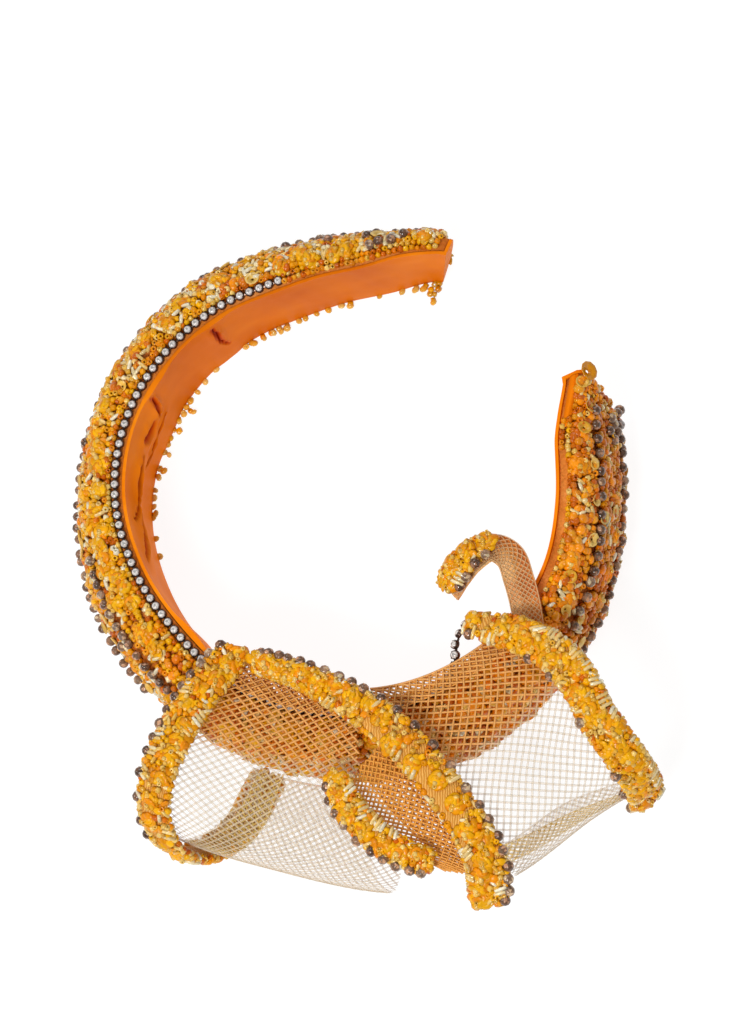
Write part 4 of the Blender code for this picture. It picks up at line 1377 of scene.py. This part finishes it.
def sew_bead(beads, centre, facing, angle):
    """One bead of a kind drawn from the mix at an angle of the band."""
    cream, honey, amber, bugle, pebble = read(FIELD_MIX, angle)
    draw = chance.random()
    if draw < cream:
        pale = chance.random() < (0.5 if angle > DEEP_ANGLE else 0.25)
        beads.seed("cream", centre, facing, CREAM if pale else GOLD)
    elif draw < cream + honey:
        beads.seed("honey", centre, facing, HONEY)
    elif draw < cream + honey + amber:
        beads.seed("amber", centre, facing, AMBER if angle > DEEP_ANGLE else TOPAZ)
    elif draw < cream + honey + amber + bugle:
        axis, _ = slanted(facing, chance.uniform(1.25, 1.57))
        beads.bugle(centre + facing * 0.4, facing, axis, CREAM)
    elif draw < cream + honey + amber + bugle + pebble:
        beads.pebble(centre + facing * 0.3, facing, HONEY if chance.random() < 0.6 else TOPAZ)
    else:
        beads.cup(centre + facing * 0.5, facing, GOLD)


def field_clumps():
    """The listed clumps, and more at random over the rest of the dome."""
    clumps = list(CLUMPS)
    for _ in range(900):
        angle, share = chance.uniform(-148, 152), chance.uniform(0.08, 0.90)
        seen = share > 0.55 and (angle > 0.0 or angle < -95.0)
        close = any(
            abs(angle - other) < 6.0 and abs(share - line) < 0.15 for other, line, _ in clumps
        )
        if not seen and not close and not near_string(angle, share, 0.08):
            clumps.append((angle, share, chance.uniform(2.6, 3.6)))
    return clumps


def in_clump(clumps, angle, share):
    """Whether a clump covers a place on the dome."""
    for other, line, reach in clumps:
        run = (angle - other) * BEAD_TURN
        across = (share - line) * DOME_LENGTH
        if run * run + across * across < (reach * 0.72) ** 2:
            return True
    return False


def sew_field(beads, clumps):
    """Rows of small beads over the dome, wherever no clump or string of crystals is."""
    for row in range(FIELD_ROWS):
        angle = FIELD_ANGLES[0] + (row % 2) * FIELD_PITCH / 2
        while angle < FIELD_ANGLES[1]:
            place = angle + chance.uniform(-0.3, 0.3) * FIELD_PITCH
            line = min(max((row + chance.uniform(0.2, 0.8)) / FIELD_ROWS, 0.012), 0.988)
            angle += FIELD_PITCH
            along = along_of(place, line)
            hidden = near_string(place, line, 0.03) or in_clump(clumps, place, line)
            if hidden or not END_MARGIN < along < 1.0 - END_MARGIN:
                continue
            centre, facing = on_dome(along, line, CLEARANCE + chance.uniform(0.7, 1.3))
            sew_bead(beads, centre, facing, place)


def sew_shoulders(beads):
    """Three rows of seed beads along the near shoulder."""
    for first, last, start in BEADED_SHOULDERS:
        for row in range(3):
            out = start + SHOULDER_PITCH * row
            angle = first if out < PAD_SHOULDER + 0.6 else last
            while angle < last:
                along = along_of(angle, 1.0)
                angle += FIELD_PITCH
                if END_MARGIN < along < 1.0 - END_MARGIN:
                    aside = out + chance.uniform(-0.2, 0.2)
                    spot = on_shoulder(along, aside, CLEARANCE + chance.uniform(0.6, 0.9))
                    kind, colours = chance.choice(SHOULDER_SEEDS)
                    beads.seed(kind, spot, UP, colours, 2.0)


def sew_fringe(beads):
    """The beads that peep out under the lining's far edge, with a pebble at the end of each row."""
    for angle, reach in FRINGE:
        edge = lining_radius(angle, 0.0)
        gone = -LINING_WALL
        while gone < reach:
            spot = at(angle + chance.uniform(-0.5, 0.5), edge - gone, SEED_WIDTH * 0.5)
            beads.seed("cream" if chance.random() < 0.45 else "amber", spot, UP,
                       GOLD if chance.random() < 0.5 else AMBER, 2.1)
            gone += FRINGE_PITCH
        beads.pebble(at(angle, edge - reach, 1.25), UP, GOLD, 2.5)


def build_bead_field(finishes):
    """The embroidery over the dome: clumps of petals, then small beads of each kind between."""
    beads = Beads()
    clumps = field_clumps()
    for angle, share, reach in clumps:
        centre, facing = on_dome(along_of(angle, share), share, CLEARANCE + 0.7)
        beads.clump(centre, facing, reach, 1.5, AMBER if angle > DEEP_ANGLE else TOPAZ)
    for angle, share in LOOSE_CRYSTALS:
        centre, facing = on_dome(along_of(angle, share), share, CLEARANCE + BEAD_LAYER * 0.8)
        beads.crystal(centre, facing)
    tip, facing = on_dome(0.0, TIP_BEAD[0], CLEARANCE + TIP_BEAD[1])
    beads.cup(tip, facing, AMBER, TIP_BEAD[2])
    sew_field(beads, clumps)
    sew_shoulders(beads)
    sew_fringe(beads)
    beads.build("band", finishes, ["bead_layer"])


def along_of(angle, share):
    """The share of the band's length at an angle on a line of the dome."""
    up = dome_point(share, PAD_HEIGHT)[1] / PAD_WIDTH
    first, last = band_angle(0.0, up), band_angle(1.0, up)
    return (angle - first) / (last - first)


# The bow


def wing_cloth(rows, cells):
    """Tables that lay a wing out flat: its points at even steps of distance round its section, the
    flat place of its outermost line and the directions in which it goes in and out from there."""
    columns, steps, samples = WING_COLUMNS, WING_STEPS, WING_SAMPLES
    last = sum(cells[1:])
    points = np.zeros((columns, steps, 3))
    total, reach = np.zeros(columns), np.zeros(columns)
    outermost, inward, onward = (np.zeros((columns, 2)) for _ in range(3))
    for column in range(columns):
        along = column / (columns - 1)
        line = np.array([
            tuple(wing_point(rows, cells, along, last * i / samples)) for i in range(samples + 1)
        ])
        gone = np.concatenate(([0.0], np.cumsum(np.linalg.norm(np.diff(line, axis=0), axis=1))))
        total[column] = gone[-1]
        even = np.linspace(0.0, gone[-1], steps)
        for axis in range(3):
            points[column, :, axis] = np.interp(even, gone, line[:, axis])
        sweep = read(rows, along)[5]
        quarter = (cells[1] + cells[2] * 90.0 / sweep) / last * samples
        reach[column] = np.interp(quarter, range(samples + 1), gone)
        edge = np.array([
            np.interp(quarter, range(samples + 1), line[:, axis]) for axis in (0, 1)
        ])
        outermost[column] = edge
        out = edge - line[0, :2]
        inward[column] = out / np.linalg.norm(out)
    chord = outermost[-1] - outermost[0]
    across = np.array((-chord[1], chord[0])) / np.linalg.norm(chord)
    for column in range(columns):
        out = inward[column]
        onward[column] = 2 * out.dot(across) * across - out
    return points, total, reach, outermost, inward, onward


def flat_to_wing(cloth, spots):
    """Where places on the flat cloth come to on a wing: shares of its two ways, and whether each
    place is on the cloth at all."""
    _, total, reach, outermost, inward, onward = cloth
    columns = len(total)
    found = np.full((len(spots), 2), -1.0)
    for ways, sign in ((inward, -1), (onward, 1)):
        offset = spots[:, None, :] - outermost[None, :, :]
        cross = ways[None, :, 0] * offset[:, :, 1] - ways[None, :, 1] * offset[:, :, 0]
        change = (cross[:, :-1] * cross[:, 1:]) <= 0
        first = change.argmax(axis=1)
        has = change.any(axis=1)
        start = cross[np.arange(len(spots)), first]
        end = cross[np.arange(len(spots)), first + 1]
        part = first + start / np.where(start == end, 1.0, start - end)
        low = np.clip(part.astype(int), 0, columns - 2)
        share = (part - low)[:, None]
        base = outermost[low] * (1 - share) + outermost[low + 1] * share
        way = ways[low] * (1 - share) + ways[low + 1] * share
        gone = np.sum((spots - base) * way, axis=1)
        far = np.interp(part, range(columns), reach) + gone
        length = np.interp(part, range(columns), total)
        good = has & (gone * sign >= 0) & (far >= 0) & (far <= length)
        found[good, 0] = part[good] / (columns - 1)
        found[good, 1] = (far / length)[good]
    return found


def on_table(points, found):
    """Points and normals at shares of a table's two ways."""
    columns, steps = points.shape[:2]
    across = np.gradient(points, axis=0)
    along = np.gradient(points, axis=1)
    normals = np.cross(across, along)
    normals /= np.linalg.norm(normals, axis=2)[:, :, None]
    x = np.clip(found[:, 0], 0, 1) * (columns - 1)
    y = np.clip(found[:, 1], 0, 1) * (steps - 1)
    i = np.clip(x.astype(int), 0, columns - 2)
    j = np.clip(y.astype(int), 0, steps - 2)
    u, v = (x - i)[:, None], (y - j)[:, None]

    def blend(table):
        return (
            table[i, j] * (1 - u) * (1 - v)
            + table[i + 1, j] * u * (1 - v)
            + table[i, j + 1] * (1 - u) * v
            + table[i + 1, j + 1] * u * v
        )

    return blend(points), blend(normals)


def lattice_runs(lattice, centre, reach, finder, points):
    """Strands of two crossing families over a cloth, over and under each other."""
    (first_turn, first_pitch), (second_turn, second_pitch) = lattice
    ways = [np.array((cos(radians(t)), sin(radians(t)))) for t in (first_turn, second_turn)]
    skew = abs(sin(radians(second_turn - first_turn)))
    runs = []
    for family in (0, 1):
        own, other = ways[family], ways[1 - family]
        own_step = (second_pitch, first_pitch)[family] / skew
        other_step = (first_pitch, second_pitch)[family] / skew
        lines = int(reach / other_step)
        count = int(reach / own_step)
        steps = np.arange(-2 * count, 2 * count + 1)
        for line in range(-lines, lines + 1):
            spots = centre + other * other_step * line + own * (own_step / 2 * steps)[:, None]
            found = finder(spots)
            inside = found[:, 0] >= 0
            start = None
            for index in range(len(spots) + 1):
                held = index < len(spots) and inside[index]
                if held and start is None:
                    start = index
                if not held and start is not None:
                    if index - start > 2:
                        part = slice(start, index)
                        places, normals = on_table(points, found[part])
                        half = steps[part]
                        over = np.where(half % 2 == 0, 1.0, 0.0)
                        over *= np.where((half // 2 + line) % 2 == 0, 1.0, -1.0)
                        over *= 1.0 if family else -1.0
                        places = places + normals * (over * WEAVE_HEIGHT)[:, None]
                        runs.append((places, normals, chance.uniform(0.88, 1.05)))
                    start = None
    return runs


def edge_runs(points):
    """Strands that bind a net's two long edges."""
    runs = []
    steps = np.linspace(0.0, 1.0, 61)
    for across in (0.0, 1.0):
        places, normals = on_table(points, np.stack((steps, np.full(61, across)), axis=1))
        runs.append((places, normals, 0.96))
    return runs


def build_net_wing(name, rows, cells, lattice, finish, flat, area, margin):
    """A wing of the bow in woven strands."""
    cloth = wing_cloth(rows, cells)
    centre = cloth[3].mean(axis=0)
    runs = lattice_runs(
        lattice, centre, 130.0, lambda spots: flat_to_wing(cloth, spots), cloth[0]
    )
    runs += edge_runs(cloth[0])
    piece = strand_mesh(f"{name}_net", runs, finish, STRAND_WIDTH, margin)
    settle(piece, "gold_net", name)


def build_strip(name, node, table, lattice, finish, margin=3.0,
                strand=DOUBLE_STRAND):
    """A strip of net over a table of points, with its strands on the bias."""
    points = np.array([[tuple(point) for point in row] for row in table])
    middle = points[:, points.shape[1] // 2]
    gone = np.concatenate(([0.0], np.cumsum(np.linalg.norm(np.diff(middle, axis=0), axis=1))))
    wide = np.linalg.norm(points[:, -1] - points[:, 0], axis=1)

    def finder(spots):
        part = np.interp(spots[:, 0], gone, np.linspace(0, 1, len(gone)), left=-1, right=-1)
        width = np.interp(spots[:, 0], gone, wide)
        across = spots[:, 1] / width + 0.5
        found = np.stack((part, across), axis=1)
        found[(part < 0) | (across < 0) | (across > 1)] = -1
        return found

    runs = lattice_runs(lattice, np.array((gone[-1] / 2, 0.0)), gone[-1], finder, points)
    runs += edge_runs(points)
    piece = strand_mesh(f"{name}_net", runs, finish, strand, margin)
    settle(piece, "gold_net", node)


def roll_point(spine, place, turn, width, off):
    """The point on a roll at a place along its spine and a turn round its oval section."""
    low = min(int(place), len(spine) - 2)
    part = place - low
    start, end = spine[low], spine[low + 1]
    centre = start[0].lerp(end[0], part)
    side = start[1].lerp(end[1], part).normalized()
    up = start[2].lerp(end[2], part).normalized()
    share = start[3] * (1 - part) + end[3] * part
    ends = min(place, len(spine) - 1 - place)
    taper = 0.62 + 0.38 * min(max(ends, 0.0) / 1.5, 1.0) ** 0.5
    wide = (width / 2 * share * taper) - off
    tall = (ROLL_HEIGHT / 2 * taper) - off
    out = side * (cos(turn) / wide) + up * (sin(turn) / tall)
    return centre + side * wide * cos(turn) + up * tall * sin(turn), out.normalized()


def across_beads(beads, spine, gone, turn, width, length):
    """A few bugles side by side across a roll at a share of its length."""
    last = len(spine) - 1
    lean = chance.uniform(-0.5, 0.5)
    for index in range(chance.choice((2, 2, 3))):
        share = min(gone + index * 1.6 / length, 1.0)
        centre, facing = roll_point(spine, share * last, turn, width, 0.2)
        ahead, _ = roll_point(spine, share * last, turn + 0.2, width, 0.2)
        axis = (ahead - centre).normalized()
        axis.rotate(Quaternion(facing, lean))
        beads.bugle(centre, facing, axis, CREAM, 3.8)


def roll_band(name, spine, hem, width):
    """The band of dense net inside a roll."""
    forward = spine[1][0] - spine[0][0]
    hand = 1 if spine[0][1].cross(spine[0][2]).dot(forward) > 0 else -1
    rings = []
    for step in range(4 * (len(spine) - 1) + 1):
        turns = [hand * tau * corner / ROLL_SIDES for corner in range(ROLL_SIDES)]
        rings.append([roll_point(spine, step / 4, turn, width, ROLL_INSET)[0] for turn in turns])
    core = tube_mesh(f"{name}_band", rings, hem)
    settle(core, "gold_net", name)


def roll_clumps(beads, spine, width, length, dark):
    """Clumps of petals down a roll, some with bugles beside them. Gives each one's distance along
    the roll, its turn round it and its reach."""
    clumps = []
    place = 0.4
    while place < length:
        clumps.append((place, radians(90 + dark * chance.uniform(-32, 36)), chance.uniform(2.9, 3.7)))
        place += chance.uniform(4.8, 6.6)
    for spot, turn, reach in clumps:
        share = spot / length
        centre, facing = roll_point(spine, share * (len(spine) - 1), turn, width, 1.2)
        beads.clump(centre, facing, reach, 1.1)
        if chance.random() < 0.6:
            side = radians(90 + chance.choice((-1, 1)) * chance.uniform(35, 55))
            across_beads(beads, spine, share, side, width, length)
    return clumps


def sew_roll_bead(beads, centre, facing, turn):
    """One small bead of a roll, of a kind drawn at random."""
    draw = chance.random()
    if draw < 0.30:
        beads.seed("cream", centre, facing, GOLD, 2.1)
    elif draw < 0.56:
        beads.seed("amber", centre, facing, AMBER, 2.2)
    elif draw < 0.66:
        beads.seed("honey", centre, facing, HONEY, 2.1)
    elif draw < 0.84:
        axis, _ = slanted(facing, chance.uniform(1.3, 1.57))
        beads.bugle(centre + facing * 0.2, facing, axis, GOLD if draw < 0.76 else CREAM, 3.0)
    elif 0.5 < turn < 2.6:
        beads.petal(centre + facing * 0.4, facing, AMBER, 3.2)


def sew_roll(beads, spine, width, length, dark, bare, clumps):
    """Small beads in rows round a roll, wherever no clump is and its hem isn't bare."""
    rows = int(length / ROLL_PITCH)
    for row in range(rows):
        gone = (row + 0.5) / rows
        for column in range(13):
            turn = radians(-32 + 244 * (column + (row % 2) * 0.5) / 12.5 + chance.uniform(-4, 4))
            place = min(max(gone + chance.uniform(-0.3, 0.3) / rows, 0.0), 1.0)
            centre, facing = roll_point(spine, place * (len(spine) - 1), turn, width, 0.85)
            covered = any(
                abs(place * length - spot) < reach * 0.75 and abs(turn - line) < 0.5
                for spot, line, reach in clumps
            )
            off_side = -dark * cos(turn)
            if not covered and not (place > bare and 0.35 < off_side < 0.9):
                sew_roll_bead(beads, centre, facing, turn)


def roll_crystals(beads, spine, width, length, dark, gaps, strung):
    """Crystal beads along a roll's dark side, up to the strung share of its length."""
    place = 1.5
    while place < (length - 1.0) * strung:
        turn = radians(90 - dark * chance.uniform(68, 88))
        centre, facing = roll_point(spine, place / length * (len(spine) - 1), turn, width, 0.3)
        beads.crystal(centre, facing, 3.4)
        place += chance.uniform(*gaps)


def build_roll(name, spine, finishes, hem, width=ROLL_WIDTH, dark=1.0, gaps=(3.7, 5.6), bare=2.0,
               strung=1.0):
    """A beaded roll: a band of dense net under clumps, seeds and bugles. Crystals stand along its
    dark side, and its hem is bare on the other side past the bare share of its length."""
    length = sum((b[0] - a[0]).length for a, b in zip(spine, spine[1:]))
    roll_band(name, spine, hem, width)
    beads = Beads()
    clumps = roll_clumps(beads, spine, width, length, dark)
    sew_roll(beads, spine, width, length, dark, bare, clumps)
    roll_crystals(beads, spine, width, length, dark, gaps, strung)
    beads.build(name, finishes, [name])


def build_hem(name, wing, rows, cells, sides, finish, lattice, depth):
    """A strip of double net along a wing, at a depth under its own net, taken as net folded double.
    It is taken as net folded double, so its cut is declared twice as wide.
    """
    (first_from, first_to), (second_from, second_to) = sides
    table = []
    steps = 48
    for index in range(steps + 1):
        part = index / steps
        row = []
        for column in range(7):
            across = column / 6
            along, step = (
                (a + (b - a) * part) * (1 - across) + (c + (d - c) * part) * across
                for a, b, c, d in zip(first_from, first_to, second_from, second_to)
            )
            spot = wing_point(rows, cells, along, step)
            row.append(spot - wing_normal(rows, cells, along, step) * depth)
        table.append(row)
    build_strip(name, wing, table, lattice, finish)


def build_bow(net, double_net, hem, finishes):
    """The two wings, the ribbon end and the beaded rolls."""
    wings = {"left_wing": (LEFT_WING, LEFT_CELLS), "right_wing": (RIGHT_WING, RIGHT_CELLS)}
    for name, lattice, flat, area, margin in (
        ("left_wing", LEFT_LATTICE, (0.073, 0.119), 0.00694, 3.0),
        ("right_wing", RIGHT_LATTICE, (0.056, 0.107), 0.00501, 11.0),
    ):
        build_net_wing(name, *wings[name], lattice, net, flat, area, margin)
    for name, wing, first_from, first_to, second_from, second_to, lattice, depth in WING_HEMS:
        rows, cells = wings[wing]
        sides = ((first_from, first_to), (second_from, second_to))
        build_hem(name, wing, rows, cells, sides, double_net, lattice, depth)
    for name, first, sink, lattice in (
        ("ribbon_end", 0.0, 0.0, HEM_LATTICE),
        ("ribbon_end_under", 0.35, 0.55, UNDER_LATTICE),
    ):
        table = []
        for i in range(31):
            row = [ribbon_point(i / 30, first + (1.0 - first) * j / 8) for j in range(9)]
            table.append([spot - UP * sink for spot in row])
        flat = (0.062, 0.024 - 0.018 * first)
        build_strip(name, "ribbon_end", table, lattice, double_net, 60.0)
    crossing = RIBBON_HEIGHT + NET_TO_ROLL + 2 * CLEARANCE
    spine = front_spine(CROSSING_ROUTE, crossing)
    build_roll("crossing_roll", spine, finishes, hem, dark=1.0, bare=0.42)
    flap = front_spine(FLAP_ROUTE, crossing)
    build_roll("flap_roll", flap, finishes, hem, dark=-1.0, gaps=(3.3, 4.6))
    left = mouth_spine(LEFT_WING, LEFT_CELLS, 0, sum(LEFT_CELLS[1:]), 0.0)
    build_roll("left_mouth_roll", left, finishes, hem, dark=-1.0, strung=0.6)
    right_last = RIGHT_CELLS[1] + RIGHT_CELLS[2] - 1
    right = mouth_spine(RIGHT_WING, RIGHT_CELLS, 0, right_last, ROLL_WIDTH * 0.7)
    build_roll("right_mouth_roll", right, finishes, hem, dark=1.0, gaps=(9.0, 22.0))


def build_tail(net, hem, finishes):
    """The small curled tail of folded net, and the beads over its free end."""
    frames = tail_frames(((-94.0, 1.10, -1.0, 0.0), *TAIL_ROUTE), 60)
    front, back, shade = [], [], []
    for index, (centre, side, up) in enumerate(frames):
        rows = ([], [], [])
        for column in range(15):
            across = column / 14
            fold = 0.35 * sin(tau * across * 1.5 + index * 0.09) * sin(pi * across)
            start = centre + side * TAIL_WIDTH * (across - 0.5) + up * fold
            rows[0].append(start + up * 0.22)
            rows[1].append(start - up * 0.22)
            rows[2].append(across)
        front.append(rows[0])
        back.append(rows[1])
        shade.append(rows[2])
    cloth = wall_mesh("tail_cloth", front, back, tail_finish(), shade)
    settle(cloth, "gold_net", "tail")
    table = []
    for centre, side, up in frames:
        start = centre + up * 0.7
        table.append([start + side * TAIL_WIDTH * 0.96 * (j / 6 - 0.5) for j in range(7)])
    build_strip("tail", "tail", table, TAIL_LATTICE, net, -80.0,
                TAIL_STRAND)
    frames = tail_frames(TAIL_ROUTE, 40)
    spine = []
    for centre, side, up in frames[20:]:
        toward = up if up.z > 0 else -up
        spine.append((centre + toward * NET_TO_ROLL, side, toward, 1.0))
    build_roll("tail_roll", spine[::3], finishes, hem, width=TAIL_WIDTH, dark=1.0)


# Light, floor and camera


def build_stage():
    """A plain pale floor and soft light."""
    side = 3.0
    mesh = bpy.data.meshes.new("floor")
    mesh.from_pydata([(-side, -side, 0), (side, -side, 0), (side, side, 0), (-side, side, 0)], [],
                     [(0, 1, 2, 3)])
    mesh.materials.append(floor_finish())
    floor = bpy.data.objects.new("floor", mesh)
    bpy.context.collection.objects.link(floor)
    world = bpy.data.worlds.new("studio")
    world.use_nodes = True
    world.node_tree.nodes["Background"].inputs["Color"].default_value = (1.0, 1.0, 1.0, 1.0)
    world.node_tree.nodes["Background"].inputs["Strength"].default_value = 0.35
    bpy.context.scene.world = world
    bpy.context.scene.view_settings.view_transform = "Standard"
    for name, size, power, place in (
        ("key", 0.3, 7.2, (-0.35, 0.45, 0.9)),
        ("fill", 0.6, 3.2, (0.6, -0.5, 0.8)),
        ("spark", 0.2, 1.8, (0.55, 0.6, 0.7)),
    ):
        lamp = bpy.data.lights.new(name, "AREA")
        lamp.size = size
        lamp.energy = power
        light = bpy.data.objects.new(name, lamp)
        light.location = place
        aim = Vector((0.0, 0.0, 0.02)) - Vector(place)
        light.rotation_euler = aim.to_track_quat("-Z", "Y").to_euler()
        bpy.context.collection.objects.link(light)


def build_camera():
    """The camera of the photograph: 69.5 degrees above the surface, seen past the bow's side."""
    tilt, lean, yaw = radians(20.5), radians(138.0), radians(227.0)
    axis = Vector((-sin(lean), cos(lean), 0.0))
    turn = Matrix.Rotation(tilt, 3, axis) @ Matrix.Rotation(yaw - pi / 2, 3, "Z")
    distance, focal = 1000.0, 3300.0
    photo_wide, photo_high = 731, 1014
    aimed_across, aimed_down = 357, 491
    target = Vector((0.0, 0.0, 20.0)) + SHIFT
    offset = Vector((aimed_across - photo_wide / 2, photo_high / 2 - aimed_down, 0.0))
    offset *= distance / focal
    eye = target + turn.transposed() @ (Vector((0.0, 0.0, distance)) - offset)
    camera = bpy.data.cameras.new("camera")
    camera.sensor_fit = "AUTO"
    camera.sensor_width = 36.0
    camera.lens = camera.sensor_width * focal / photo_high
    camera.clip_end = 20.0
    holder = bpy.data.objects.new("camera", camera)
    holder.matrix_world = Matrix.Translation(eye * MM) @ turn.transposed().to_4x4()
    bpy.context.collection.objects.link(holder)
    bpy.context.scene.camera = holder


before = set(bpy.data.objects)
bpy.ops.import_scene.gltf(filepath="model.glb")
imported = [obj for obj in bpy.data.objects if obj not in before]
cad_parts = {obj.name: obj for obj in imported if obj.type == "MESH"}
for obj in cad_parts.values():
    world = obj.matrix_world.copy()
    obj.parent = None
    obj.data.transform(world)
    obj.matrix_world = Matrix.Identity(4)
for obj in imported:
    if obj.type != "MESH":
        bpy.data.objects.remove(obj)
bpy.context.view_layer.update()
SHIFT = band_shift()

build_camera()
build_stage()
glass = {
    # name, roughness, coat, transmission, shine, mottle
    "cream": ("cream_glass", 0.08, 0.35, 0.06, 0.4, 0.12),
    "honey": ("honey_glass", 0.1, 0.15, 0.0, 0.2, 0.2),
    "amber": ("amber_seeds", 0.24, 0.1, 0.0, 0.2, 0.12),
    "bugle": ("gold_lined_bugles", 0.08, 0.5, 0.0, 0.45, 0.2),
    "cup": ("cup_sequins", 0.2, 0.25, 0.0, 0.3, 0.2),
    "crystal": ("smoke_crystal", 0.08, 0.2, 0.4, 0.5, 0.2),
    "petal": ("amber_petals", 0.26, 0.08, 0.0, 0.2, 0.15),
    "pebble": ("honey_pebbles", 0.06, 0.3, 0.0, 0.25, 0.15),
}
finishes = {kind: bead_finish(*row) for kind, row in glass.items()}
# Over the band, the gold and double nets' second colours are painted bounce light from the band.
net = net_finish("gold_net", (linear(236, 218, 190), linear(244, 178, 100)), (0.3, 0.85))
double_net = net_finish("double_net", (linear(255, 228, 132), linear(240, 166, 72)), (0.46, 0.95))
tail_net = net_finish("tail_net", (linear(240, 200, 148),) * 2, (0.45, 0.45))
hem = hem_finish()
satin = satin_finish()
build_pad_cloth(pad_finish())
build_lining(satin)
build_turnover(satin)
build_chain(metal_finish(), bead_finish("clear_crystal", 0.05, 0.8, 0.0, 0.5, 0.1))
build_bead_field(finishes)
build_strings(finishes)
build_bow(net, double_net, hem, finishes)
build_tail(tail_net, hem, finishes)
